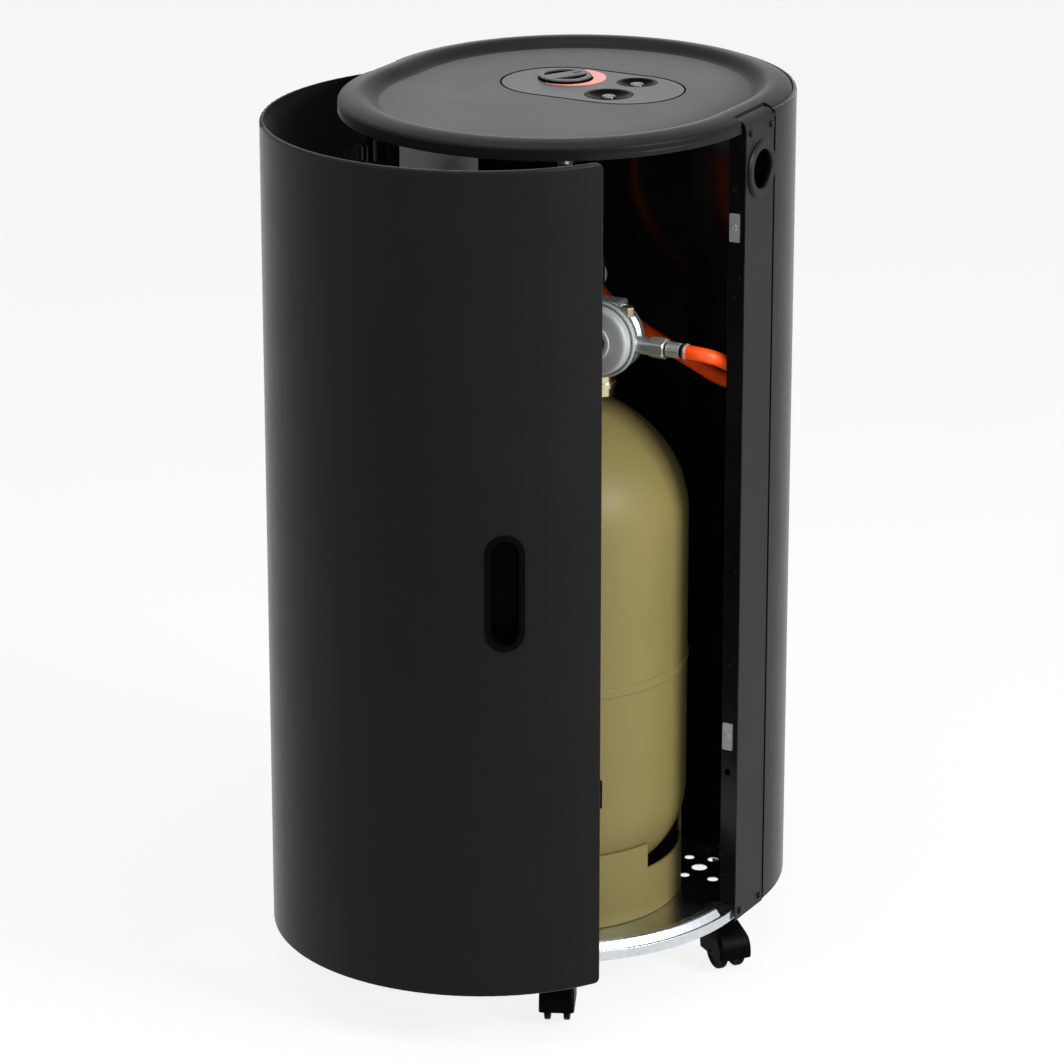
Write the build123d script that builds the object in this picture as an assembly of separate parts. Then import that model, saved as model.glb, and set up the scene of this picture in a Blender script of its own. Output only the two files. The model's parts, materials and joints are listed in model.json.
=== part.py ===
"""Portable gas cabinet heater: a tall oval steel cabinet on castors, with a hinged rear door,
a gas bottle with its regulator and hose inside, and a ceramic burner behind a grille in front.

Millimetres, +Z up, the floor at z = 0. The burner looks towards -Y and the door opens towards +Y.
The plan is an oval: two half rounds joined by flat side strips that face -X and +X.
"""
from build123d import *
import math
import os

os.makedirs("parts", exist_ok=True)

# ---------------------------------------------------------------- driving dimensions
# cabinet
shell_radius = 210.0        # outside of the two half-round shells
half_straight = 31.0        # from the middle to the centre of each half round
sheet = 1.0                 # painted sheet steel
fit_gap = 0.3               # between sheets that only lie against each other
running_gap = 0.05          # radial gap round anything that turns or slides
shell_low = 58.4            # lower edge of the shells above the floor
shell_height = 818.6
lip_width = 3.5             # rolled-in lip at the top and bottom of the shells
lip_round = 3.0
seam_gap = 1.0              # between a shell's upright edge and the flat strip

# side strips, uprights and grips
strip_rear = 29.0           # y of the strips' rear edge
strip_front = -31.0
strip_bend = 10.0
strip_turn_in = 3.0
upright_depth = 21.0        # how far the upright's flange reaches inwards
upright_rear = 20.0
upright_front = -28.0
upright_foot = 8.0
upright_foot_depth = 16.0
upright_step = 3.0
upright_notch_down = 32.0   # room for the grip in the upright's web, below and above its middle
upright_notch_up = 26.0
grip_outer = 28.0
grip_hole = 19.0
grip_sleeve = 2.6
grip_below_top = 52.0
grip_y = -2.0
grip_proud = 3.0
strip_screw_radius = 2.0
strip_screw_head = 3.6
strip_screw_rise = 2.0
strip_screw_length = 4.0
strip_screw_slot = (4.8, 1.0, 0.5)      # length, width and depth
strip_screw_rear_inset = 10.0
strip_screw_front_inset = 7.0
strip_screw_low = 8.0
strip_screw_high = 13.0

# top plate and its controls
plate_inset = 4.0           # top plate's edge behind the shells' outer face
plate_straight_inset = 2.0
plate_sheet = 1.2
plate_rise = 1.0            # top plate above the shells' upper edge
plate_skirt = 12.0
plate_round = 8.0
slope_width = 25.0          # from the rim's crest in to the flat recess
valley_radius = 20.0
recess_depth = 4.0
notch_margin = 2.6
hinge_notch_margin = 6.0
panel_radius = 60.0
panel_middle = (-7.0, -42.0)
panel_spread = 34.0
panel_thick = 3.0
panel_gap = 0.8
panel_edge_round = 0.8
panel_flange = 3.0
panel_flange_thick = 2.5
knob_place = (31.0, -56.0)
knob_radius = 26.0
knob_height = 10.0
knob_proud = 4.0
knob_edge_round = 1.2
knob_rim = 5.0
knob_grip = 16.0
knob_recess = 6.0
knob_grip_turn = 62.0
knob_gap = 0.5
knob_hub_radius = 10.0
knob_hub_drop = 6.0
knob_press = 4.0
spindle_radius = 4.0
spindle_grip = 3.0
collar_radius = 9.0
collar_height = 2.5
scale_thick = 0.3
scale_radius = 34.5
scale_inner = 28.0
scale_shift = 6.3           # its outer circle's centre stands off the knob's
scale_shift_turn = 235.0
scale_from = 75.0
scale_to = 268.0
igniter_place = (-39.0, -74.0)
igniter_dish = 20.0
cutoff_place = (-38.0, -17.0)
cutoff_dish = 24.0
dish_depth = 6.0
dish_floor = 3.0
dish_rim = 1.5
dish_fit = 0.2
button_radius = 7.0
button_height = 18.0
button_below_panel = 1.0
button_press = 5.0
switch_radius = 11.0
switch_height = 46.0
valve_size = (50.0, 46.0, 56.0)
valve_spindle_hole = 20.0
valve_round = 6.0
valve_lug = (14.0, 3.0)
valve_lug_place = (-22.0, 8.0)
valve_inlet_radius = 9.0
valve_inlet_length = 10.0

# base pan and castors
pan_rim_width = 27.0
pan_height = 10.3
pan_floor_up = 3.3
vent_places = [(-121.0, -67.0), (-100.0, -86.0), (-124.0, -92.0), (-117.0, -42.0), (-147.0, -46.0)]
vent_radii = [8.0, 5.0, 5.5, 5.0, 5.5]
castor_side_inset = 36.0    # castor stems in from the outer face, at the sides and round the corners
castor_corner_inset = 29.0
castor_corner_turn = 58.3
castor_turns = [144.0, 115.0, 122.0, 131.0, 126.0, 138.0]
castor_trail = 22.0
wheel_radius = 20.0
wheel_width = 6.0
wheel_spacing = 19.0
wheel_round = 2.5
axle_radius = 2.0
hood_wall = 3.5
hood_clear = 1.4
hood_side_clear = 1.4
hood_open_height = 16.0
hood_round = 4.0
hood_shoulder = 34.0        # height at which the hood starts to narrow
hood_shoulder_round = 14.0
hood_neck = (9.0, 11.0)     # half its length and half its width at the top
stem_radius = 4.0
socket_radius = 18.0
socket_height = 4.6

# door, its hinges, handle and catches
door_open_angle = 28.1      # at rest the door stands ajar
hinge_inset = 5.0           # pin centre behind the outer face
hinge_setback = 6.0         # pin centre behind the strips' rear edge
hinge_up = 91.6             # lower hinge above the shell's lower edge
hinge_down = 87.0           # upper hinge below its upper edge
knuckle_radius = 3.0
knuckle_height = 14.0
pin_radius = 1.5
leaf_thick = 1.5
leaf_height = 34.0
leaf_arm = 9.0
door_leaf_reach = 24.0
hem_thick = 2.5
hem_width = 15.0
hem_foot_gap = 1.0          # the hem starts above the pan's rim
door_corner = 7.0
handle_turn = 153.3
handle_width = 38.0
handle_length = 115.0
handle_middle = 470.0
handle_rim = 5.5
handle_proud = 1.6
handle_depth = 24.0
handle_wall = 2.0
catch_up = 191.6            # lower catch above the shell's lower edge
catch_down = 107.0          # upper catch below its upper edge
catch_inset = 1.5
dimple_radius = 3.5
dimple_offset = 38.0
catch_size = (11.0, 28.0)
catch_thick = 1.5
catch_round = 1.2
catch_screw = 2.0
catch_screw_rise = 1.2
magnet_depth = 12.0

# divider and burner
shield_inset = 3.5          # the divider's ends in from the outer face
shield_fold_inset = 60.0
shield_fold_y = -92.0
shield_flat_half = 72.0
shield_back = -124.0
shield_top_gap = 2.0
window_half_angle = 38.0
window_low = 330.0
window_high = 700.0
window_round = 14.0
grille_thick = 1.5
grille_lap = 2.5
grille_margin = 8.0
grille_spans = 3
grille_bar = 7.0
grille_pitch = 18.0
grille_post = 8.0
burner_half_width = 120.0
burner_low = 336.0
burner_high = 694.0
burner_setback = 18.0       # reflector box behind the grille
chamber_depth = 36.0
chamber_wall = 2.0
plaque_width = 132.0
plaque_height = 92.0
plaque_thick = 12.0
plaque_gap = 4.0
plaque_low = 362.0
plaque_seat = 6.0
plaque_grooves = 6
chamber_margin = 8.0
pipe_radius = 4.0
pipe_bend = 14.0
pipe_clear = 2.0
pipe_up = 26.0              # burner pipe above the gas valve's underside
injector_setback = 12.0
pilot_setback = 14.0
pilot_bracket = (24.0, 3.0)
pilot_spread = 11.0
pilot_radius = 4.0
electrode_radius = 3.0
wire_radius = 1.2

# gas bottle, valve, regulator and hose
bottle_middle = (0.0, 36.0)
bottle_radius = 140.0
bottle_wall = 3.0
bottle_low_tangent = 176.0
bottle_high_tangent = 460.0
bottle_low_head = 105.0
bottle_high_head = 125.0
bottle_low_knuckle = 90.0
bottle_high_knuckle = 110.0
weld_height = 312.0
weld_width = 9.0
weld_rise = 1.2
foot_radius = 136.0
foot_notch_from = 166.0
foot_notch_to = 212.0
foot_notch_low = 114.0
neck_radius = 20.0
neck_height = 8.0
valve_radius = 13.0
valve_height = 72.0
valve_outlet_radius = 9.0
valve_outlet_reach = 24.0
valve_stem_height = 19.0
handwheel_radius = 24.0
handwheel_height = 16.0
handwheel_lobes = 6
regulator_middle = (-63.0, 35.0, 647.0)
regulator_seat = 9.0        # joint face of the cover, behind the middle of the housing
regulator_back = 24.0
regulator_waist = 33.5
regulator_ring_radius = 36.0
regulator_flange = 38.0
regulator_flange_thick = 3.5
regulator_cover_depth = 16.0
regulator_cover_radius = 34.5
regulator_hole = 11.0
shoulder_from = (-14.0, -20.0)
shoulder_to = (20.0, 2.0)
shoulder_height = 36.0
lug_ball = 14.0
lug_place = (14.0, 61.0)
lug_neck = 8.0
lug_hole = 2.5
bolt_across = 11.0
bolt_height = 9.5
bolt_place = (-22.0, -5.0, 22.5)
bolt_seat = 7.5
relief_radius = 13.0
relief_height = 20.0
relief_shift = 4.0
union_nut_radius = 17.0
union_nut_length = 10.0
union_nut_grooves = 12
outlet_radius = 8.8
outlet_drop = 3.0
outlet_nut_across = 19.0
outlet_nut_length = 16.0
outlet_reach = 51.0
ferrule_radius = 7.5
ferrule_neck = 6.2
ferrule_neck_length = 2.0
ferrule_grip_length = 14.0
ferrule_flutes = 10
ferrule_flute = 1.2
ferrule_ring = 8.2
ferrule_ring_width = 2.5
ferrule_length = 23.0
hose_radius = 7.0

# ---------------------------------------------------------------- worked out once
shell_high = shell_low + shell_height
shell_inner = shell_radius - sheet
plate_top = shell_high + plate_rise
plate_radius = shell_radius - plate_inset
plate_half_straight = half_straight - plate_straight_inset
pan_radius = shell_inner - (lip_round - sheet) - fit_gap / 2
pan_low = shell_low + sheet + fit_gap
pan_top = pan_low + pan_height
pan_floor = pan_low + pan_floor_up
web_face = shell_inner - fit_gap
panel_top = plate_top - recess_depth
plate_under = panel_top - plate_sheet
grip_height = shell_high - grip_below_top
hinge_x = shell_radius - hinge_inset
hinge_y = strip_rear + hinge_setback
hinge_axis = Axis((hinge_x, hinge_y, 0), (0, 0, 1))
door_edge = half_straight + seam_gap
hinge_heights = [shell_low + hinge_up, shell_high - hinge_down]
catch_heights = [shell_low + catch_up, shell_high - catch_down]
castor_side = shell_radius - castor_side_inset
castor_reach = shell_radius - castor_corner_inset
castor_x = castor_reach * math.cos(math.radians(castor_corner_turn))
castor_y = half_straight + castor_reach * math.sin(math.radians(castor_corner_turn))
castor_places = [(-castor_side, 0), (-castor_x, castor_y), (castor_x, castor_y),
                 (castor_side, 0), (castor_x, -castor_y), (-castor_x, -castor_y)]
shield_plan = [(-shell_radius + shield_inset, strip_front - sheet / 2),
               (-shell_radius + shield_fold_inset, shield_fold_y), (-shield_flat_half, shield_back)]
grille_inner = shell_inner - fit_gap - grille_thick
burner_front = burner_setback - half_straight - math.sqrt(grille_inner ** 2 - burner_half_width ** 2)
chamber_front = shield_back - chamber_depth
screw_rear = strip_rear - strip_screw_rear_inset
screw_front = strip_front + strip_screw_front_inset
screw_low = shell_low + strip_screw_low
screw_high = shell_high - strip_screw_high
strip_screw_places = [(screw_rear, screw_low), (screw_front, screw_low),
                      (screw_rear, screw_high), (screw_front, screw_high)]


def save(shape, node):
    """One file for each separate piece."""
    shape.label = node
    export_step(shape, f"parts/{node}.step")


def box(low, high):
    """A block from its lowest corner to its highest."""
    size = [b - a for a, b in zip(low, high)]
    return Pos(*low) * Box(*size, align=(Align.MIN, Align.MIN, Align.MIN))


def rod(start, direction, radius, length):
    """A round bar that starts at a point and runs along a direction."""
    plane = Plane(origin=start, z_dir=direction)
    return plane * Cylinder(radius, length, align=(Align.CENTER, Align.CENTER, Align.MIN))


def oval(radius, straight, low, high):
    """The cabinet's oval plan, raised between two heights."""
    flat = SlotCenterToCenter(2 * straight, 2 * radius, rotation=90)
    return extrude(Plane.XY.offset(low) * flat, high - low)


# ---------------------------------------------------------------- base pan and castors
def base_pan():
    """Zinc-plated tray: a flat rim, a step down to the floor and an outer wall."""
    rim_inner = pan_radius - pan_rim_width
    tray = oval(pan_radius, half_straight, pan_low, pan_top)
    tray = fillet(tray.faces().sort_by(Axis.Z)[-1].edges(), sheet * 0.9)
    tray -= oval(pan_radius - sheet, half_straight, pan_low, pan_top - sheet)
    tray += oval(rim_inner + sheet, half_straight, pan_floor - sheet, pan_top - sheet / 2)
    tray -= oval(rim_inner, half_straight, pan_floor, pan_top + sheet)
    for (x, y), radius in zip(vent_places, vent_radii):
        for side in (-1, 1):
            tray -= rod((x * side, y, pan_low), (0, 0, 1), radius, pan_height)
    notch = hinge_inset + 2 * sheet
    tray -= box((hinge_x - notch, strip_rear - fit_gap, pan_low - sheet),
                (shell_radius, hinge_y + sheet, pan_top + sheet))
    for side in (-1, 1):
        for y, z in strip_screw_places:
            tray -= rod((side * shell_radius, y, z), (-side, 0, 0), strip_screw_radius + running_gap,
                        strip_screw_length + 2 * sheet)
    return tray


def castor_sockets():
    """Steel bushes welded under the pan, one for each castor's stem."""
    top = pan_floor - sheet
    bushes = []
    for x, y in castor_places:
        bush = rod((x, y, top - socket_height), (0, 0, 1), socket_radius, socket_height)
        bush -= rod((x, y, top - 2 * socket_height), (0, 0, 1), stem_radius + running_gap, 3 * socket_height)
        bushes.append(bush)
    return Compound(children=bushes)


def castor_hood(place, turn):
    """Black moulded fork that widens from its neck to cover both wheels, with a steel stem."""
    neck_top = pan_floor - sheet - socket_height - fit_gap
    stem_top = pan_floor - sheet - fit_gap
    half_width = wheel_spacing / 2 + wheel_width / 2 + hood_side_clear + hood_wall
    web = wheel_spacing / 2 - wheel_width / 2 - hood_side_clear
    cavity = wheel_radius + hood_clear
    neck_length, neck_width = hood_neck
    cover = Pos(castor_trail, wheel_radius) * Circle(cavity + hood_wall)
    side = make_hull([*cover.edges(), Line((-neck_length, neck_top), (neck_length, neck_top))])
    right = [(half_width, 0), (half_width, hood_shoulder), (neck_width, neck_top)]
    left = [(-across, up) for across, up in reversed(right)]
    front = make_face(Polyline(*right, *left, close=True))
    shoulders = front.vertices().filter_by_position(Axis.Y, hood_shoulder, hood_shoulder)
    front = fillet(shoulders, hood_shoulder_round)
    hood = extrude(Plane.XZ * side, half_width, both=True)
    hood &= extrude(Plane.YZ * front, 3 * wheel_radius, both=True)
    low = -wheel_radius
    hood -= box((low, -half_width, low), (3 * wheel_radius, half_width, hood_open_height))
    ends = [edge for edge in hood.edges() if neck_top - 1 > edge.center().Z > hood_open_height + 1]
    hood = fillet(ends, hood_round)
    for side_way in (-1, 1):
        room = wheel_width + 2 * hood_side_clear
        hood -= rod((castor_trail, side_way * web, wheel_radius), (0, side_way, 0), cavity, room)
    axle_start = (castor_trail, -half_width, wheel_radius)
    hood -= rod(axle_start, (0, 1, 0), axle_radius + running_gap, 2 * half_width)
    hood += rod((0, 0, neck_top - 1), (0, 0, 1), stem_radius, stem_top - neck_top + 1)
    return Pos(place[0], place[1], 0) * Rot(0, 0, turn) * hood


def castor_wheels(place, turn):
    """Two plastic wheels pressed on one axle, which turns in the fork."""
    web = wheel_spacing / 2 - wheel_width / 2
    pair = rod((castor_trail, -web, wheel_radius), (0, 1, 0), axle_radius, 2 * web)
    for side in (-1, 1):
        tyre = rod((castor_trail, side * web, wheel_radius), (0, side, 0), wheel_radius, wheel_width)
        outer = tyre.faces().sort_by(Axis.Y)[-1 if side > 0 else 0]
        pair += fillet(outer.edges(), wheel_round)
    return Pos(place[0], place[1], 0) * Rot(0, 0, turn) * pair


# ---------------------------------------------------------------- shells and side strips
def half_shell(rear):
    """A half-round wall with its lips rolled inwards at the top and bottom."""
    middle = shell_low + shell_height / 2
    outer = Pos(shell_radius - lip_width / 2, middle) * Rectangle(lip_width, shell_height)
    outer = fillet(outer.vertices().sort_by(Axis.X)[-2:], lip_round)
    inner = Pos(shell_inner - lip_width / 2, middle) * Rectangle(lip_width, shell_height - 2 * sheet)
    inner = fillet(inner.vertices().sort_by(Axis.X)[-2:], lip_round - sheet)
    wall = revolve(Plane.XZ * (outer - inner), Axis.Z, 360)
    reach = shell_radius + sheet
    wall -= box((-reach, -reach, shell_low - sheet), (reach, seam_gap, shell_high + sheet))
    if rear:
        return Pos(0, half_straight, 0) * wall
    return Pos(0, -half_straight, 0) * Rot(0, 0, 180) * wall


def ring_sector(inner, outer, low, high, start, sweep):
    """Part of a ring round the Z axis, between two angles in degrees."""
    flat = Pos((inner + outer) / 2, (low + high) / 2) * Rectangle(outer - inner, high - low)
    return Rot(0, 0, start) * revolve(Plane.XZ * flat, Axis.Z, sweep)


def front_shell():
    """Fixed half-round front with the burner's window."""
    cut = ring_sector(shell_inner - lip_width, shell_radius + lip_width, window_low, window_high,
                      -90 - window_half_angle, 2 * window_half_angle)
    corners = [edge for edge in cut.edges().filter_by(GeomType.LINE) if abs(edge.tangent_at(0).Z) < 0.5]
    cut = fillet(corners, window_round)
    return half_shell(False) - Pos(0, -half_straight, 0) * cut


def side_strip(side):
    """Flat painted strip that closes one side and turns in over the top plate's edge."""
    turned = strip_bend + strip_turn_in
    outer = Pos(shell_radius - turned / 2, (shell_low + plate_top) / 2)
    outer *= Rectangle(turned, plate_top - shell_low)
    corner = outer.vertices().sort_by(Axis.X)[-2:].sort_by(Axis.Y)[-1:]
    outer = fillet(corner, strip_bend)
    inner = Pos(shell_inner - turned / 2, (shell_low + plate_top) / 2 - sheet)
    inner *= Rectangle(turned, plate_top - shell_low)
    corner = inner.vertices().sort_by(Axis.X)[-2:].sort_by(Axis.Y)[-1:]
    inner = fillet(corner, strip_bend - sheet)
    strip = extrude(Plane.XZ.offset(-strip_rear) * (outer - inner), strip_rear - strip_front)
    strip -= rod((web_face, grip_y, grip_height), (1, 0, 0), grip_hole + grip_sleeve + fit_gap, 3 * sheet)
    for y, z in strip_screw_places:
        strip -= rod((web_face, y, z), (1, 0, 0), strip_screw_radius + running_gap, 3 * sheet)
    return strip if side > 0 else mirror(strip, Plane.YZ)


def upright(side):
    """Angle post behind each strip: a web, a flange for hinge or catch, and a foot on the pan's rim."""
    web_top = plate_top - strip_bend
    flange_top = web_top - upright_step
    post = box((web_face - sheet, upright_front, pan_top), (web_face, upright_rear, web_top))
    inward = web_face - upright_depth
    flange_front = upright_rear - sheet
    post += box((inward, flange_front, pan_top), (web_face, upright_rear, flange_top))
    skirt_inner = plate_radius - plate_sheet - fit_gap
    post += box((inward, flange_front, flange_top), (skirt_inner, upright_rear, plate_under - fit_gap))
    post += box((inward - upright_foot, upright_rear - upright_foot_depth, pan_top),
                (inward + sheet, upright_rear, pan_top + sheet))
    post -= box((web_face - 2 * sheet, upright_front - sheet, grip_height - upright_notch_down),
                (web_face + sheet, flange_front, grip_height + upright_notch_up))
    reach = strip_screw_length + sheet
    for y, z in strip_screw_places[2:]:
        post -= rod((shell_radius - reach, y, z), (1, 0, 0), strip_screw_radius + running_gap, reach)
    if side < 0:
        for z, way in zip(catch_heights, (-1, 1)):
            post -= rod((catch_middle(), upright_rear + sheet, z), (0, -1, 0), catch_screw, 3 * sheet)
            dimple = (catch_middle(), upright_rear + sheet, z + way * dimple_offset)
            post -= rod(dimple, (0, -1, 0), dimple_radius, 3 * sheet)
    return post if side > 0 else mirror(post, Plane.YZ)


def catch_middle():
    """x of the middle of the catch plates, before they are mirrored to the left side."""
    return web_face - upright_depth + catch_size[0] / 2 + catch_inset


def grip_ring(side):
    """Bevelled plastic ring that lines the hole by which the cabinet is pulled along."""
    sleeve_low = web_face + fit_gap / 2
    ring = rod((shell_radius, grip_y, grip_height), (1, 0, 0), grip_outer, grip_proud)
    ring = chamfer(ring.faces().sort_by(Axis.X)[-1].edges(), grip_proud * 0.6)
    ring += rod((sleeve_low, grip_y, grip_height), (1, 0, 0), grip_hole + grip_sleeve, grip_proud)
    ring -= rod((sleeve_low - sheet, grip_y, grip_height), (1, 0, 0), grip_hole, 3 * grip_proud)
    mouth = ring.faces().sort_by(Axis.X)[-1].edges().sort_by(SortBy.LENGTH)[:1]
    ring = fillet(mouth, grip_proud * 0.6)
    return ring if side > 0 else mirror(ring, Plane.YZ)


def strip_screws():
    """Black pan-head screws through the ends of the strips."""
    length, width, depth = strip_screw_slot
    slot_floor = shell_radius + strip_screw_rise - depth
    screws = []
    for y, z in strip_screw_places:
        head = rod((shell_radius, y, z), (1, 0, 0), strip_screw_head, strip_screw_rise)
        head = fillet(head.faces().sort_by(Axis.X)[-1].edges(), strip_screw_rise * 0.7)
        head -= box((slot_floor, y - length / 2, z - width / 2),
                    (slot_floor + 2 * depth, y + length / 2, z + width / 2))
        screw = head + rod((shell_radius, y, z), (-1, 0, 0), strip_screw_radius, strip_screw_length)
        screws += [screw, mirror(screw, Plane.YZ)]
    return Compound(children=screws)


def heat_shield():
    """Folded black sheet between the bottle bay and the burner."""
    half = shield_plan + [(-x, y) for x, y in reversed(shield_plan)]
    back = [(x, y - sheet) for x, y in reversed(half)]
    outline = make_face(Polyline(*half, *back, close=True))
    wall = extrude(Plane.XY.offset(pan_top) * outline, plate_top - plate_skirt - shield_top_gap - pan_top)
    pipe_start = (knob_place[0], shield_back + sheet, pipe_height())
    return wall - rod(pipe_start, (0, -1, 0), pipe_radius + pipe_clear, 3 * sheet)


# ---------------------------------------------------------------- top plate and controls
def panel_outline(radius, low, high):
    """The round-ended shape of the control panel."""
    flat = SlotCenterToCenter(2 * panel_spread, 2 * radius)
    return extrude(Pos(panel_middle[0], panel_middle[1], low) * flat, high - low)


def lid_profile(inset):
    """Half section of the lid's upper skin: a rounded edge, a crest and a gentle slope to the recess."""
    slope_turn = 2 * math.atan(recess_depth / slope_width)
    hill = slope_width / math.sin(slope_turn) - valley_radius
    crest = plate_radius - plate_round
    low = plate_top - plate_skirt
    edge_middle = (plate_round - inset) * math.sqrt(0.5)
    hill_low = plate_top - hill
    valley_x = crest - slope_width
    valley_high = panel_top + valley_radius

    def on_hill(turn):
        return (crest - (hill - inset) * math.sin(turn), hill_low + (hill - inset) * math.cos(turn))

    def in_valley(turn):
        reach = valley_radius + inset
        return (valley_x + reach * math.sin(turn), valley_high - reach * math.cos(turn))

    skin = [
        Line((0, low), (plate_radius - inset, low)),
        Line((plate_radius - inset, low), (plate_radius - inset, plate_top - plate_round)),
        ThreePointArc((plate_radius - inset, plate_top - plate_round),
                      (crest + edge_middle, plate_top - plate_round + edge_middle), on_hill(0)),
        ThreePointArc(on_hill(0), on_hill(slope_turn / 2), on_hill(slope_turn)),
        ThreePointArc(on_hill(slope_turn), in_valley(slope_turn / 2), in_valley(0)),
        Line(in_valley(0), (0, panel_top - inset)),
        Line((0, panel_top - inset), (0, low)),
    ]
    return Plane.XZ * make_face(Curve() + skin)


def turned_oval(profile, straight):
    """A half section turned round both ends of the oval and drawn straight between them."""
    end = Pos(0, straight, 0) * revolve(profile, Axis.Z, 180)
    side = extrude(profile, straight, both=True)
    return end + mirror(end, Plane.XZ) + side + mirror(side, Plane.YZ)


def top_plate():
    """Pressed lid with a rounded rim, a shallow recess and notches for the strips."""
    low = plate_top - plate_skirt
    lid = turned_oval(lid_profile(0), plate_half_straight)
    under = turned_oval(lid_profile(plate_sheet), plate_half_straight)
    lid -= under
    lid -= panel_outline(panel_radius, low, plate_top)
    edge = shell_radius - strip_bend - strip_turn_in - fit_gap
    for side in (-1, 1):
        rear = half_straight - seam_gap + (hinge_notch_margin if side > 0 else notch_margin)
        near, far = sorted((side * edge, side * shell_radius))
        lid -= box((near, strip_front - notch_margin, low - sheet), (far, rear, plate_top + sheet))
    return lid


def control_panel():
    """Moulded panel let into the recess, with openings for the knob and the two buttons."""
    panel = panel_outline(panel_radius - panel_gap, panel_top - panel_thick, panel_top)
    panel = fillet(panel.faces().sort_by(Axis.Z)[-1].edges(), panel_edge_round)
    panel += panel_outline(panel_radius + panel_flange, plate_under - panel_flange_thick, plate_under)
    low = panel_top - dish_depth - dish_floor
    holes = ((knob_place, knob_radius + knob_gap), (igniter_place, igniter_dish + dish_fit),
             (cutoff_place, cutoff_dish + dish_fit))
    for place, radius in holes:
        panel -= rod((*place, low), (0, 0, 1), radius, plate_top - low)
    return panel


def heat_scale():
    """Thin inlaid crescent beside the knob that shows more or less heat."""
    x, y = knob_place
    turn = math.radians(scale_shift_turn)
    middle = (x + scale_shift * math.cos(turn), y + scale_shift * math.sin(turn), panel_top)
    band = ring_sector(scale_inner, 2 * scale_radius, panel_top, panel_top + scale_thick,
                       scale_from, scale_to - scale_from)
    return rod(middle, (0, 0, 1), scale_radius, scale_thick) & (Pos(x, y, 0) * band)


def control_knob():
    """Round knob with two sunk halves that leave a bar to grip."""
    x, y = knob_place
    top = panel_top + knob_proud
    knob = rod((x, y, top - knob_height), (0, 0, 1), knob_radius, knob_height)
    knob = fillet(knob.faces().sort_by(Axis.Z)[-1].edges(), knob_edge_round)
    sunk = rod((0, 0, top - knob_recess), (0, 0, 1), knob_radius - knob_rim, 2 * knob_recess)
    sunk -= box((-knob_radius, -knob_grip / 2, top - knob_recess),
                (knob_radius, knob_grip / 2, top + knob_recess))
    knob -= Pos(x, y, 0) * Rot(0, 0, knob_grip_turn) * sunk
    hub_low = knob_hub_low()
    knob += rod((x, y, hub_low), (0, 0, 1), knob_hub_radius, knob_hub_drop + sheet)
    return knob - rod((x, y, hub_low - sheet), (0, 0, 1), spindle_radius, spindle_grip + sheet)


def knob_hub_low():
    """Underside of the knob's hub."""
    return panel_top + knob_proud - knob_height - knob_hub_drop


def valve_top():
    """Top face of the gas valve, which leaves the knob room to be pressed."""
    return knob_hub_low() - fit_gap - collar_height - knob_press - fit_gap


def control_spindle():
    """Brass spindle fixed in the knob's hub."""
    low = valve_top() - valve_spindle_hole + knob_press + sheet
    return rod((*knob_place, low), (0, 0, 1), spindle_radius, knob_hub_low() + spindle_grip - low)


def spindle_collar():
    """Steel collar under the knob that carries the return spring's push."""
    low = knob_hub_low() - fit_gap - collar_height
    ring = rod((*knob_place, low), (0, 0, 1), collar_radius, collar_height)
    bore = rod((*knob_place, low - sheet), (0, 0, 1), spindle_radius + running_gap, 2 * collar_height)
    return ring - bore


def valve_low():
    """Underside of the gas valve's body."""
    return valve_top() - valve_size[2]


def gas_valve():
    """Cast control valve under the panel, held to the divider by a lug."""
    x, y = knob_place
    top = valve_top()
    half_x = valve_size[0] / 2
    half_y = valve_size[1] / 2
    body = box((x - half_x, y - half_y, valve_low()), (x + half_x, y + half_y, top))
    body = fillet(body.edges().filter_by(Axis.Z), valve_round)
    hole_low = top - valve_spindle_hole
    body -= rod((x, y, hole_low), (0, 0, 1), spindle_radius + running_gap, valve_spindle_hole + sheet)
    lug_x = x + valve_lug_place[0]
    lug_z = valve_low() + valve_lug_place[1]
    body += box((lug_x, shield_back, lug_z), (lug_x + valve_lug[0], y - half_y + sheet, lug_z + valve_lug[1]))
    inlet_low = valve_low() - valve_inlet_length
    return body + rod((x, y, inlet_low), (0, 0, 1), valve_inlet_radius, valve_inlet_length + sheet)


def dish(place, radius):
    """Round dished surround of a push button."""
    low = panel_top - dish_depth - dish_floor
    ball = (radius ** 2 + dish_depth ** 2) / (2 * dish_depth)
    cup = rod((*place, low), (0, 0, 1), radius, panel_top - low)
    cup -= Pos(*place, panel_top + ball - dish_depth) * Sphere(ball - dish_rim)
    return cup - rod((*place, low - sheet), (0, 0, 1), button_radius + knob_gap, dish_depth + dish_floor)


def push_button(place):
    """Button with a crowned top, free to travel down its switch."""
    top = panel_top - button_below_panel
    cap = rod((*place, top - button_height), (0, 0, 1), button_radius, button_height)
    return fillet(cap.faces().sort_by(Axis.Z)[-1].edges(), 1.6)


def push_switch(place):
    """Switch barrel under a button, seated on the underside of its dish."""
    top = panel_top - dish_depth - dish_floor
    barrel = rod((*place, top - switch_height), (0, 0, 1), switch_radius, switch_height)
    hole_low = panel_top - button_below_panel - button_height - button_press - sheet
    return barrel - rod((*place, hole_low), (0, 0, 1), button_radius + running_gap, switch_height)


# ---------------------------------------------------------------- burner behind the front grille
def pipe_height():
    """Height at which the burner pipe leaves the gas valve."""
    return valve_low() + pipe_up


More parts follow.
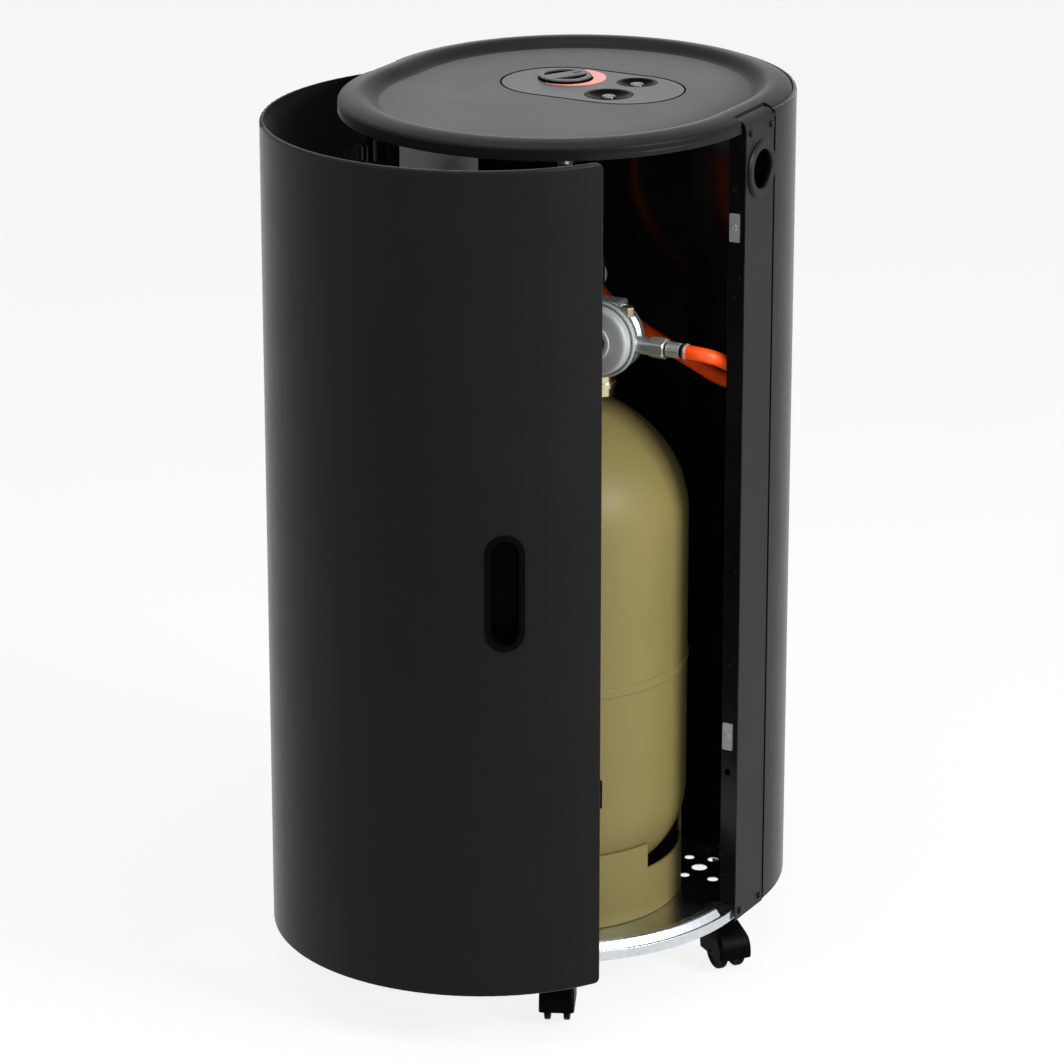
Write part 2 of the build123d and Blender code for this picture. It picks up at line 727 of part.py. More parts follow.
def burner_housing():
    """Bright reflector box, open to the front, with the burner's gas chamber inside."""
    back = shield_back - sheet
    outer = box((-burner_half_width, burner_front, burner_low), (burner_half_width, back, burner_high))
    outer -= box((-burner_half_width + sheet, burner_front - sheet, burner_low + sheet),
                 (burner_half_width - sheet, back - sheet, burner_high - sheet))
    half = plaque_width / 2 + chamber_margin
    low = plaque_low - chamber_margin
    high = plaque_heights()[-1] + plaque_height + chamber_margin
    chamber = box((-half, chamber_front, low), (half, back - sheet / 2, high))
    chamber -= box((-half + chamber_wall, chamber_front + chamber_wall, low + chamber_wall),
                   (half - chamber_wall, back - sheet, high - chamber_wall))
    outer += chamber
    mouth = plaque_width / 2 - plaque_seat
    for z in plaque_heights():
        outer -= box((-mouth, chamber_front - sheet, z + plaque_seat),
                     (mouth, chamber_front + 2 * chamber_wall, z + plaque_height - plaque_seat))
    injector = (knob_place[0], chamber_front + injector_setback, burner_high - 2 * sheet)
    return outer - rod(injector, (0, 0, 1), pipe_radius + sheet, 4 * sheet)


def plaque_heights():
    """Lower edges of the three ceramic plaques."""
    return [plaque_low + i * (plaque_height + plaque_gap) for i in range(3)]


def ceramic_plaques():
    """Three perforated ceramic plaques that glow in use."""
    pitch = plaque_width / (plaque_grooves + 1)
    front = chamber_front - plaque_thick
    plaques = []
    for z in plaque_heights():
        plaque = box((-plaque_width / 2, front, z), (plaque_width / 2, chamber_front, z + plaque_height))
        for i in range(1, plaque_grooves + 1):
            x = -plaque_width / 2 + i * pitch
            plaque -= box((x - sheet, front - sheet, z + plaque_seat),
                          (x + sheet, front + 2 * sheet, z + plaque_height - plaque_seat))
        plaques.append(plaque)
    return Compound(children=plaques)


def guard_grille():
    """Slotted guard behind the window, bent to the shell's curve."""
    outer = grille_inner + grille_thick
    half = window_half_angle + grille_lap
    guard = ring_sector(grille_inner, outer, window_low - grille_margin, window_high + grille_margin,
                        -90 - half, 2 * half)
    count = int((window_high - window_low) // grille_pitch)
    start = (window_low + window_high - count * grille_pitch) / 2
    post = math.degrees(grille_post / outer)
    span = 2 * window_half_angle / grille_spans
    for i in range(count):
        z = start + i * grille_pitch + grille_bar / 2
        for k in range(grille_spans):
            begin = -90 - window_half_angle + k * span + post / 2
            guard -= ring_sector(grille_inner - grille_thick, outer + grille_thick,
                                 z, z + grille_pitch - grille_bar, begin, span - post)
    return Pos(0, -half_straight, 0) * guard


def pilot_burner():
    """Pilot tube with its spark electrode on a small bracket in the reflector box."""
    floor = burner_low + sheet
    room = plaque_low - floor
    y = chamber_front - pilot_setback
    half_x, half_y = pilot_bracket
    pilot = box((-half_x, y - half_y, floor), (half_x, chamber_front - 2 * chamber_wall, floor + 2 * sheet))
    pilot += rod((-pilot_spread, y, floor), (0, 0, 1), pilot_radius, room - pilot_radius)
    pilot += rod((pilot_spread, y, floor), (0, 0, 1), electrode_radius, room - 2 * pilot_radius)
    return pilot + rod((pilot_spread, y, floor), (0, 0, 1), wire_radius, room - 2 * sheet)


def burner_pipe():
    """Bent metal pipe from the gas valve down to the burner's injector."""
    x = knob_place[0]
    z = pipe_height()
    start = (x, knob_place[1] - valve_size[1] / 2, z)
    y = chamber_front + injector_setback
    path = FilletPolyline(start, (x, y, z), (x, y, burner_high - injector_setback / 2), radius=pipe_bend)
    return sweep(Plane(origin=start, z_dir=(0, -1, 0)) * Circle(pipe_radius), path=path)


# ---------------------------------------------------------------- rear door
def door_shell():
    """Hinged half-round rear door with a hem down its free edge and a slot for the handle."""
    door = half_shell(True)
    inner = shell_inner - hem_thick
    width = math.degrees(hem_width / shell_radius)
    start = 180 - width - math.degrees(seam_gap / shell_radius)
    hem = ring_sector(inner, shell_inner + sheet / 2, pan_top + hem_foot_gap, shell_high - sheet / 2,
                      start, width)
    door += Pos(0, half_straight, 0) * hem
    outside = -shell_radius - sheet
    for z, way in ((shell_low, 1), (shell_high, -1)):
        low, high = sorted((z - way * sheet, z + way * door_corner))
        corner = box((outside, door_edge - sheet, low),
                     (outside + 2 * door_corner, door_edge + door_corner, high))
        middle = (outside, door_edge + door_corner, z + way * door_corner)
        door -= corner - rod(middle, (1, 0, 0), door_corner, 2 * door_corner)
    slot = handle_width / 2 - handle_rim + handle_wall + fit_gap
    return door - handle_block(slot, -handle_depth, handle_depth)


def handle_block(half, near, far):
    """Round-ended block through the door at the handle, between two depths from the outer face."""
    length = handle_length - handle_width + 2 * half
    place = Pos(0, half_straight, handle_middle) * Rot(0, 0, handle_turn) * Pos(shell_radius, 0, 0)
    flat = Plane.YZ * Rot(0, 0, 90) * SlotOverall(length, 2 * half)
    return place * Pos(near, 0, 0) * extrude(flat, far - near)


def handle_bezel():
    """Moulded finger pocket with a rim that lies on the door's outer face."""
    finger = handle_width / 2 - handle_rim
    half_turn = math.degrees(handle_width / shell_radius)
    around = ring_sector(shell_radius, shell_radius + handle_proud, handle_middle - handle_length,
                         handle_middle + handle_length, handle_turn - half_turn, 2 * half_turn)
    rim = (Pos(0, half_straight, 0) * around) & handle_block(handle_width / 2, -handle_depth, handle_depth)
    cup = handle_block(finger + handle_wall, -handle_depth, handle_proud / 2)
    return rim + cup - handle_block(finger, -handle_depth + handle_wall, handle_depth)


def door_leaves():
    """Hinge leaves on the door's inner face, each with the upper knuckle."""
    face = shell_inner - fit_gap
    start = math.degrees(math.asin((hinge_y + knuckle_radius - half_straight) / shell_radius))
    reach = math.degrees(door_leaf_reach / shell_radius)
    leaves = []
    for z in hinge_heights:
        half = leaf_height / 2
        low = z + fit_gap / 2
        leaf = ring_sector(face - leaf_thick, face, z - half, z + half, start, reach)
        leaf = Pos(0, half_straight, 0) * leaf
        leaf += rod((hinge_x, hinge_y, low), (0, 0, 1), knuckle_radius, knuckle_height)
        leaf += box((hinge_x, hinge_y + sheet, low),
                    (face - leaf_thick / 4, hinge_y + 2 * knuckle_radius, low + knuckle_height))
        leaf -= rod((hinge_x, hinge_y, z), (0, 0, 1), pin_radius + running_gap, 2 * knuckle_height)
        leaves.append(leaf)
    return Compound(children=leaves)


def frame_leaves():
    """Hinge leaves on the right upright, each with the lower knuckle."""
    face = upright_rear
    arm = hinge_x - leaf_arm
    leaves = []
    for z in hinge_heights:
        high = z - fit_gap / 2
        low = high - knuckle_height
        leaf = box((web_face - upright_depth + sheet, face, z - leaf_height / 2),
                   (web_face - knuckle_radius, face + leaf_thick, z + leaf_height / 2))
        leaf += box((arm - leaf_thick, face, low), (arm, hinge_y + sheet, high))
        leaf += box((arm - leaf_thick, hinge_y - sheet, low), (hinge_x - sheet, hinge_y + sheet, high))
        leaf += rod((hinge_x, hinge_y, low), (0, 0, 1), knuckle_radius, knuckle_height)
        leaf -= rod((hinge_x, hinge_y, low - sheet), (0, 0, 1), pin_radius, 2 * knuckle_height)
        leaves.append(leaf)
    return Compound(children=leaves)


def hinge_pins():
    """Steel pins fixed in the lower knuckles, on which the door turns."""
    pins = []
    for z in hinge_heights:
        low = z - fit_gap / 2 - knuckle_height
        pins.append(rod((hinge_x, hinge_y, low), (0, 0, 1), pin_radius, 2 * knuckle_height))
    return Compound(children=pins)


def catch_plates():
    """Bright steel plates on the left upright, to which the door's magnets hold."""
    x = -catch_middle()
    width, height = catch_size
    plates = []
    for z in catch_heights:
        plate = box((x - width / 2, upright_rear, z - height / 2),
                    (x + width / 2, upright_rear + catch_thick, z + height / 2))
        plate = fillet(plate.edges().filter_by(Axis.Y), catch_round)
        plate -= rod((x, upright_rear - sheet, z), (0, 1, 0), catch_screw, 2 * catch_thick + sheet)
        plates.append(plate)
    return Compound(children=plates)


def catch_screws():
    """Small screws that hold the catch plates."""
    x = -catch_middle()
    face = upright_rear + catch_thick
    half_length = catch_screw * 1.2
    half_width = catch_screw * 0.2
    screws = []
    for z in catch_heights:
        head = rod((x, face, z), (0, 1, 0), catch_screw * 1.8, catch_screw_rise)
        head = fillet(head.faces().sort_by(Axis.Y)[-1].edges(), catch_screw_rise * 0.65)
        head -= box((x - half_width, face + catch_screw_rise * 0.6, z - half_length),
                    (x + half_width, face + 2 * catch_screw_rise, z + half_length))
        screws.append(head + rod((x, face, z), (0, -1, 0), catch_screw, catch_thick + 4 * sheet))
    return Compound(children=screws)


def door_magnets():
    """Magnet blocks on the door's free edge that meet the catch plates when it is shut."""
    x = -catch_middle()
    width, height = catch_size
    face = upright_rear + catch_thick + catch_screw_rise + fit_gap
    inner = shell_inner - hem_thick
    tab_turn = math.degrees(hem_width / shell_radius)
    blocks = []
    for z in catch_heights:
        low = z - height / 2
        high = z + height / 2
        block = box((x - width / 2, face, low), (x + width / 2, face + magnet_depth, high))
        block += box((-inner + 2 * fit_gap, face + magnet_depth - 2 * sheet, low),
                     (x, face + magnet_depth, high))
        tab = ring_sector(inner - fit_gap - leaf_thick, inner - fit_gap, low, high,
                          180 - 0.9 * tab_turn, 0.8 * tab_turn)
        blocks.append(block + Pos(0, half_straight, 0) * tab)
    return Compound(children=blocks)


# ---------------------------------------------------------------- gas bottle
def bottle_profile(inset, low_cap, high_cap):
    """Half outline of the bottle, each head being a crown and a knuckle arc."""
    radius = bottle_radius - inset
    lines = [Line((radius, bottle_low_tangent), (radius, bottle_high_tangent))]
    high = (bottle_high_tangent, high_cap - inset, bottle_high_knuckle - inset, 1)
    low = (bottle_low_tangent, low_cap - inset, bottle_low_knuckle - inset, -1)
    for tangent, head, knuckle, way in (high, low):
        across = radius - knuckle
        crown = (head ** 2 - knuckle ** 2 + across ** 2) / (2 * (head - knuckle))
        turn = math.atan2(crown - head, across)
        touch = (crown * math.cos(turn), tangent + way * (head - crown + crown * math.sin(turn)))
        half = turn / 2
        middle = (across + knuckle * math.cos(half), tangent + way * knuckle * math.sin(half))
        lines.append(ThreePointArc((radius, tangent), middle, touch))
        half = (turn + math.pi / 2) / 2
        middle = (crown * math.cos(half), tangent + way * (head - crown + crown * math.sin(half)))
        lines.append(ThreePointArc(touch, middle, (0, tangent + way * head)))
    lines.append(Line((0, bottle_low_tangent - low_cap + inset), (0, bottle_high_tangent + high_cap - inset)))
    return make_face(Curve() + lines)


def bottle_top():
    """Top face of the bottle's neck ring."""
    return bottle_high_tangent + bottle_high_head + neck_height


def bottle_body():
    """Painted steel gas bottle with its middle weld and neck ring."""
    skin = revolve(Plane.XZ * bottle_profile(0, bottle_low_head, bottle_high_head), Axis.Z)
    weld = rod((0, 0, weld_height - weld_width / 2), (0, 0, 1), bottle_radius + weld_rise, weld_width)
    weld = fillet(weld.edges(), weld_rise * 0.9)
    neck = rod((0, 0, bottle_top() - neck_height - 6), (0, 0, 1), neck_radius, neck_height + 6)
    neck = fillet(neck.faces().sort_by(Axis.Z)[-1].edges(), 2)
    skin = skin + weld + neck
    skin -= revolve(Plane.XZ * bottle_profile(bottle_wall, bottle_low_head, bottle_high_head), Axis.Z)
    return Pos(*bottle_middle, 0) * skin


def foot_top():
    """Height at which the foot ring meets the lower head."""
    across = bottle_radius - bottle_low_knuckle
    reach = foot_radius - bottle_wall - fit_gap - across
    return bottle_low_tangent - math.sqrt(bottle_low_knuckle ** 2 - reach ** 2)


def bottle_foot_ring():
    """Foot ring welded under the bottle, with notches at its upper edge."""
    top = foot_top()
    ring = rod((0, 0, pan_floor), (0, 0, 1), foot_radius, top - pan_floor)
    ring = fillet(ring.faces().sort_by(Axis.Z)[0].edges(), 2)
    ring -= rod((0, 0, pan_floor - 1), (0, 0, 1), foot_radius - bottle_wall, top)
    width = foot_notch_to - foot_notch_from
    for start in (foot_notch_from, foot_notch_from + 180):
        ring -= ring_sector(foot_radius - 10, foot_radius + 10, foot_notch_low, top + 10, start, width)
    return Pos(*bottle_middle, 0) * ring


def bottle_valve():
    """Brass bottle valve with its side outlet and the stem of the handwheel."""
    x, y = bottle_middle
    low = bottle_top()
    valve = rod((x, y, low), (0, 0, 1), valve_radius, valve_height)
    valve = fillet(valve.faces().sort_by(Axis.Z)[-1].edges(), 2)
    valve += rod((x, y, low), (0, 0, 1), valve_radius + 4, 10)
    outlet = (x, regulator_middle[1], regulator_middle[2])
    valve += rod(outlet, (-1, 0, 0), valve_outlet_radius, valve_outlet_reach)
    valve += rod((x, y, low + valve_height - 1), (0, 0, 1), spindle_radius, valve_stem_height + 1)
    return valve


def valve_handwheel():
    """Lobed handwheel that opens the bottle."""
    x, y = bottle_middle
    low = bottle_top() + valve_height + 6
    wheel = rod((x, y, low), (0, 0, 1), handwheel_radius, handwheel_height)
    for i in range(handwheel_lobes):
        turn = math.radians(i * 360 / handwheel_lobes)
        reach = handwheel_radius + 6
        wheel -= rod((x + reach * math.cos(turn), y + reach * math.sin(turn), low - 1), (0, 0, 1), 10, 40)
    wheel = fillet(wheel.faces().sort_by(Axis.Z)[-1].edges(), 1.5)
    return wheel - rod((x, y, low - 1), (0, 0, 1), spindle_radius + running_gap, valve_stem_height - 4)


# ---------------------------------------------------------------- regulator and hose
def regulator_turned(profile):
    """A shape turned about the regulator's axis, which points to the rear."""
    face = make_face(Polyline(*profile, close=True))
    return Pos(*regulator_middle) * Rot(-90, 0, 0) * revolve(Plane.XZ * face, Axis.Z)


def regulator_body():
    """Die-cast housing: a waist between a ring and the cover's flange, with its inlet, outlet and top lug."""
    x, y, z = regulator_middle
    back = -regulator_back
    front = regulator_seat - regulator_flange_thick
    body = regulator_turned([
        (0, back), (regulator_waist / 2, back), (regulator_waist - 6, back + 4),
        (regulator_ring_radius, back + 10), (regulator_ring_radius, back + 16), (regulator_waist, back + 20),
        (regulator_waist, front - 3), (regulator_flange, front), (regulator_flange, regulator_seat),
        (0, regulator_seat)])
    shoulder = box((x + shoulder_from[0], y + shoulder_from[1], z),
                   (x + shoulder_to[0], y + shoulder_to[1], z + shoulder_height))
    body += fillet(shoulder.faces().sort_by(Axis.Z)[-1].edges(), 3)
    inlet_from = x + regulator_waist - 4
    inlet_to = bottle_middle[0] - valve_outlet_reach
    body += rod((inlet_from, y, z), (1, 0, 0), valve_outlet_radius, inlet_to - inlet_from)
    outlet_from = x - regulator_waist + 4
    body += rod((outlet_from, y, z - outlet_drop), (-1, 0, 0), outlet_radius, outlet_from - outlet_start()[0])
    lug_x = x + lug_place[0]
    lug_z = z + lug_place[1]
    body += rod((lug_x, y, z), (0, 0, 1), lug_neck, lug_place[1])
    body += Pos(lug_x, y, lug_z) * Sphere(lug_ball)
    body -= rod((lug_x - lug_ball * 0.6, y + lug_ball * 0.4, lug_z), (0, 1, 0), lug_hole, lug_ball)
    return body - rod(bolt_foot(), (0, 0, 1), bolt_seat, regulator_flange)


def bolt_foot():
    """Middle of the flat seat for the brass bolt on the housing's shoulder."""
    return tuple(a + b for a, b in zip(regulator_middle, bolt_place))


def regulator_cover():
    """Round cover of the regulator, with its vent in the middle."""
    seat = regulator_seat
    face = seat + regulator_cover_depth
    step = seat + regulator_flange_thick
    disc = regulator_cover_radius
    return regulator_turned([
        (0, seat), (regulator_flange, seat), (regulator_flange, step), (disc, step), (disc, face - 8),
        (disc - 1.5, face - 5), (disc - 5, face - 3), (regulator_hole + 6, face - 1),
        (regulator_hole + 4.5, face), (regulator_hole + 1.5, face), (regulator_hole, face - 1.5),
        (regulator_hole, step), (0, step)])


def regulator_brass():
    """Brass bolt on the upper shoulder and the brass relief fitting below."""
    x, y, z = regulator_middle
    bolt = extrude(Pos(*bolt_foot()) * RegularPolygon(bolt_across / 2, 6, major_radius=False), bolt_height)
    bolt = chamfer(bolt.faces().sort_by(Axis.Z)[-1].edges(), 0.8)
    top = z - regulator_flange - fit_gap
    low = top - relief_height
    relief_x = x + relief_shift
    relief = rod((relief_x, y, low), (0, 0, 1), relief_radius, relief_height)
    relief += rod((relief_x, y, top - relief_height * 0.6), (0, 0, 1), relief_radius + 2, relief_height / 4)
    relief -= rod((relief_x, y, low - sheet), (0, 0, 1), relief_radius / 2, relief_height / 3)
    return Compound(children=[bolt, relief])


def union_nut():
    """Knurled union nut that draws the regulator onto the bottle valve."""
    y, z = regulator_middle[1:]
    start = bottle_middle[0] - valve_radius - sheet
    nut = rod((start, y, z), (-1, 0, 0), union_nut_radius, union_nut_length)
    nut = fillet(nut.edges(), 1.5)
    reach = union_nut_radius + 1
    for i in range(union_nut_grooves):
        turn = math.tau * i / union_nut_grooves
        groove = (start + sheet, y + reach * math.cos(turn), z + reach * math.sin(turn))
        nut -= rod(groove, (-1, 0, 0), 2.5, 2 * union_nut_length)
    return nut - rod((start + sheet, y, z), (-1, 0, 0), valve_outlet_radius + fit_gap, 2 * union_nut_length)


def outlet_start():
    """Point where the outlet nut meets the regulator."""
    x, y, z = regulator_middle
    return (x - outlet_reach, y, z - outlet_drop)


def outlet_nut():
    """Hexagon nut on the regulator's outlet."""
    place = Plane(origin=outlet_start(), z_dir=(-1, 0, 0))
    hexagon = RegularPolygon(outlet_nut_across / 2, 6, major_radius=False)
    nut = extrude(place * hexagon, outlet_nut_length)
    rounder = rod(outlet_start(), (-1, 0, 0), outlet_nut_across / 2 + 1, outlet_nut_length)
    return nut & chamfer(rounder.edges(), 1.0)


def ferrule(start, direction):
    """Crimped sleeve that clamps the hose: a short neck, a fluted grip and a thin ring at the end."""
    upwards = (Align.CENTER, Align.CENTER, Align.MIN)
    sleeve = Cylinder(ferrule_neck, ferrule_length, align=upwards)
    grip = Pos(0, 0, ferrule_neck_length) * Cylinder(ferrule_radius, ferrule_grip_length, align=upwards)
    for i in range(ferrule_flutes):
        flute = Pos(ferrule_radius + ferrule_flute / 2, 0, 0) * Cylinder(ferrule_flute, 2 * ferrule_length)
        grip -= Rot(0, 0, i * 360 / ferrule_flutes) * flute
    ring_low = ferrule_length - ferrule_ring_width
    ring = Pos(0, 0, ring_low) * Cylinder(ferrule_ring, ferrule_ring_width, align=upwards)
    return Plane(origin=start, z_dir=direction) * (sleeve + grip + ring)


def ferrules():
    """The hose's two clamping sleeves, on the regulator and under the gas valve."""
    x, y, z = outlet_start()
    first = ferrule((x - outlet_nut_length, y, z), (-1, 0, 0))
    second = ferrule((*knob_place, hose_end_z() + ferrule_length), (0, 0, -1))
    return Compound(children=[first, second])


def hose_end_z():
    """Height of the hose's upper end, under the gas valve."""
    return valve_low() - valve_inlet_length - ferrule_length


def hose_route():
    """The hose's route by hand: out of the regulator, a tight loop beside the wall and up to the valve."""
    x, y, z = outlet_start()
    start = x - outlet_nut_length - ferrule_length
    return [
        (start, y, z),
        (start - 10, y, z),
        (-174.0, 30.0, 641.5),
        (-179.5, 19.0, 636.0),
        (-185.0, 4.0, 627.0),
        (-188.0, -12.0, 615.0),
        (-183.0, -26.0, 604.0),
        (-170.0, -35.0, 597.0),
        (-150.0, -39.0, 598.0),
        (-122.0, -41.0, 609.0),
        (-90.0, -43.0, 622.0),
        (-55.0, -46.0, 636.0),
        (-20.0, -50.0, 655.0),
        (8.0, -53.0, 683.0),
        (24.0, -55.0, 715.0),
        (knob_place[0], knob_place[1], 743.0),
        (knob_place[0], knob_place[1], hose_end_z()),
    ]


def gas_hose():
    """Orange rubber gas hose between the regulator and the gas valve."""
    points = [Vector(*p) for p in hose_route()]
    radii = []
    for before, here, after in zip(points, points[1:], points[2:]):
        turn = (here - before).get_angle(after - here)
        shorter = min((here - before).length, (after - here).length)
        radii.append(0.45 * shorter / math.tan(math.radians(turn / 2)))
    print("hose arc radii", [round(r) for r in radii])
    path = FilletPolyline(*points, radius=radii)
    start = points[0]
    tube = sweep(Plane(origin=start, z_dir=points[1] - start) * Circle(hose_radius), path=path)
    print("hose length", round(path.length, 1), "volume share",
          round(tube.volume / (math.pi * hose_radius ** 2 * path.length), 4))
    return tube


# ---------------------------------------------------------------- write every piece
def build():
    save(base_pan(), "base_pan")
    save(castor_sockets(), "castor_sockets")
    for number, (place, turn) in enumerate(zip(castor_places, castor_turns), 1):
        save(castor_hood(place, turn), f"castor_hood_{number}")
        save(castor_wheels(place, turn), f"castor_wheels_{number}")
    save(front_shell(), "front_shell")
    for side, name in ((-1, "left"), (1, "right")):
        save(side_strip(side), f"side_strip_{name}")
        save(upright(side), f"upright_{name}")
        save(grip_ring(side), f"grip_ring_{name}")
    save(strip_screws(), "strip_screws")
    save(heat_shield(), "heat_shield")
    save(top_plate(), "top_plate")
    save(control_panel(), "control_panel")
    save(heat_scale(), "heat_scale")
    save(control_knob(), "control_knob")
    save(control_spindle(), "control_spindle")
    save(spindle_collar(), "spindle_collar")
    save(gas_valve(), "gas_valve")
    save(dish(igniter_place, igniter_dish), "igniter_dish")
    save(push_button(igniter_place), "igniter_button")
    save(push_switch(igniter_place), "piezo_igniter")
    save(dish(cutoff_place, cutoff_dish), "cutoff_dish")
    save(push_button(cutoff_place), "cutoff_button")
    save(push_switch(cutoff_place), "cutoff_switch")
    save(burner_housing(), "burner_housing")
    save(ceramic_plaques(), "ceramic_plaques")
    save(guard_grille(), "guard_grille")
    save(pilot_burner(), "pilot_burner")
    save(burner_pipe(), "burner_pipe")
    save(catch_plates(), "catch_plates")
    save(catch_screws(), "catch_screws")
    save(frame_leaves(), "frame_hinge_leaves")
    save(hinge_pins(), "hinge_pins")
    for shape, node in ((door_shell(), "door_shell"), (handle_bezel(), "door_handle"),
                        (door_magnets(), "door_magnets"), (door_leaves(), "door_hinge_leaves")):
        save(shape.rotate(hinge_axis, -door_open_angle), node)
    save(bottle_body(), "bottle_body")
    save(bottle_foot_ring(), "bottle_foot_ring")
    save(bottle_valve(), "bottle_valve")
    save(valve_handwheel(), "valve_handwheel")
    save(regulator_body(), "regulator_body")
    save(regulator_cover(), "regulator_cover")
    save(regulator_brass(), "regulator_brass")
    save(union_nut(), "union_nut")
    save(outlet_nut(), "outlet_nut")
    save(ferrules(), "hose_ferrules")
    save(gas_hose(), "gas_hose")


build()
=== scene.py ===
import bmesh
import bpy
import json
import math
from mathutils import Matrix, Vector


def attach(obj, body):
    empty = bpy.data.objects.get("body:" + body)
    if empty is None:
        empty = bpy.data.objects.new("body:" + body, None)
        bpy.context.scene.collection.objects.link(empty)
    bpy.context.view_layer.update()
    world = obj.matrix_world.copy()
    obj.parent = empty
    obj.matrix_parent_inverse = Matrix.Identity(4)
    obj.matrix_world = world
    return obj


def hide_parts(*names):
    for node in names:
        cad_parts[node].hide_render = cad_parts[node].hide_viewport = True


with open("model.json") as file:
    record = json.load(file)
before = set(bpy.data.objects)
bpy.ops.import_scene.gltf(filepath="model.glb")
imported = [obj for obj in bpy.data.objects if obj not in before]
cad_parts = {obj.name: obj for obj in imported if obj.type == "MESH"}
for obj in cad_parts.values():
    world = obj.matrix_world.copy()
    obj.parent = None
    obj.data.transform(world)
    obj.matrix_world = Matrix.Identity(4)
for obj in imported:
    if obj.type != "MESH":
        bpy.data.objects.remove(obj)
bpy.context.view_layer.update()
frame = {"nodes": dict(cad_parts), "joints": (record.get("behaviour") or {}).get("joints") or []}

nodes = frame["nodes"]
joints = {joint["name"]: joint for joint in frame["joints"]}

# ---- Camera
# The cabinet is seen from behind and a little above, through a long lens that stands well back,
# so its upright edges stay close to parallel.
camera_turn = math.radians(208.88)
camera_rise = math.radians(18.87)
camera_distance = 4.693
camera_target = Vector((-0.0203, 0.1047, 0.460))
image_pixels = 1064
focal_pixels = 4808
camera_data = bpy.data.cameras.new("camera")
camera_data.sensor_width = 36
camera_data.lens = focal_pixels / image_pixels * camera_data.sensor_width
camera_data.clip_end = 50
camera = bpy.data.objects.new("camera", camera_data)
camera_way = Vector((math.sin(camera_turn) * math.cos(camera_rise),
                     -math.cos(camera_turn) * math.cos(camera_rise), math.sin(camera_rise)))
camera.location = camera_target + camera_way * camera_distance
camera.rotation_euler = (-camera_way).to_track_quat("-Z", "Y").to_euler()
bpy.context.scene.collection.objects.link(camera)
bpy.context.scene.camera = camera
bpy.context.scene.view_settings.view_transform = "Standard"

# ---- Gas hose
# A smooth orange rubber hose, 14 mm thick, clamped by a crimped sleeve at each end. It leaves the
# regulator towards the side wall, turns down and back beside it and climbs to the gas valve.
hose_radius = 0.007
hose_points = [
    (-0.153, 0.035, 0.644), (-0.163, 0.035, 0.644), (-0.174, 0.030, 0.6415), (-0.1795, 0.019, 0.636),
    (-0.185, 0.004, 0.627), (-0.188, -0.012, 0.615), (-0.183, -0.026, 0.604), (-0.170, -0.035, 0.597),
    (-0.150, -0.039, 0.598), (-0.122, -0.041, 0.609), (-0.090, -0.043, 0.622), (-0.055, -0.046, 0.636),
    (-0.020, -0.050, 0.655), (0.008, -0.053, 0.683), (0.024, -0.055, 0.715), (0.031, -0.056, 0.743),
    (0.031, -0.056, 0.7659),
]


def piece_from(name, data, body=None, replaced=()):
    """Put a mesh or curve in the scene as a piece that stands at the origin."""
    piece = bpy.data.objects.new(name, data)
    bpy.context.scene.collection.objects.link(piece)
    if body:
        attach(piece, body)
    if replaced:
        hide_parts(*replaced)
    return piece


def add_node(tree, kind, **values):
    """Add a node and set its plain properties and its named inputs."""
    node = tree.nodes.new(kind)
    for key, value in values.items():
        if hasattr(node, key):
            setattr(node, key, value)
        else:
            node.inputs[key.replace("_", " ")].default_value = value
    return node


def maths(tree, operation, first, second=None, third=None, **values):
    """Add a math node whose inputs are sockets or plain numbers, and return its output."""
    node = add_node(tree, "ShaderNodeMath", operation=operation, **values)
    for socket, value in zip(node.inputs, (first, second, third)):
        if hasattr(value, "node"):
            tree.links.new(value, socket)
        elif value is not None:
            socket.default_value = value
    return node.outputs[0]


def ranged(tree, value, from_low, from_high, to_low=0.0, to_high=1.0):
    """Stretch a value from one range to another, held inside it."""
    node = add_node(tree, "ShaderNodeMapRange", From_Min=from_low, From_Max=from_high,
                    To_Min=to_low, To_Max=to_high)
    tree.links.new(value, node.inputs["Value"])
    return node.outputs["Result"]


def mixed(tree, share, first, second):
    """Mix two colours, each a socket or a plain colour."""
    node = add_node(tree, "ShaderNodeMix", data_type="RGBA")
    tree.links.new(share, node.inputs[0])
    for socket, value in ((node.inputs[6], first), (node.inputs[7], second)):
        if hasattr(value, "node"):
            tree.links.new(value, socket)
        else:
            socket.default_value = value
    return node.outputs[2]


def new_group(name, inputs, outputs):
    """Start a shader node group with named value, colour or vector sockets."""
    kinds = {"value": "NodeSocketFloat", "colour": "NodeSocketColor", "vector": "NodeSocketVector"}
    tree = bpy.data.node_groups.new(name, "ShaderNodeTree")
    for label, kind, start in inputs:
        tree.interface.new_socket(label, in_out="INPUT", socket_type=kinds[kind]).default_value = start
    for label, kind in outputs:
        tree.interface.new_socket(label, in_out="OUTPUT", socket_type=kinds[kind])
    return tree, tree.nodes.new("NodeGroupInput"), tree.nodes.new("NodeGroupOutput")


def use_group(tree, group, **values):
    """Place a shader group in a material with its own values."""
    node = tree.nodes.new("ShaderNodeGroup")
    node.node_tree = group
    for key, value in values.items():
        node.inputs[key.replace("_", " ")].default_value = value
    return node


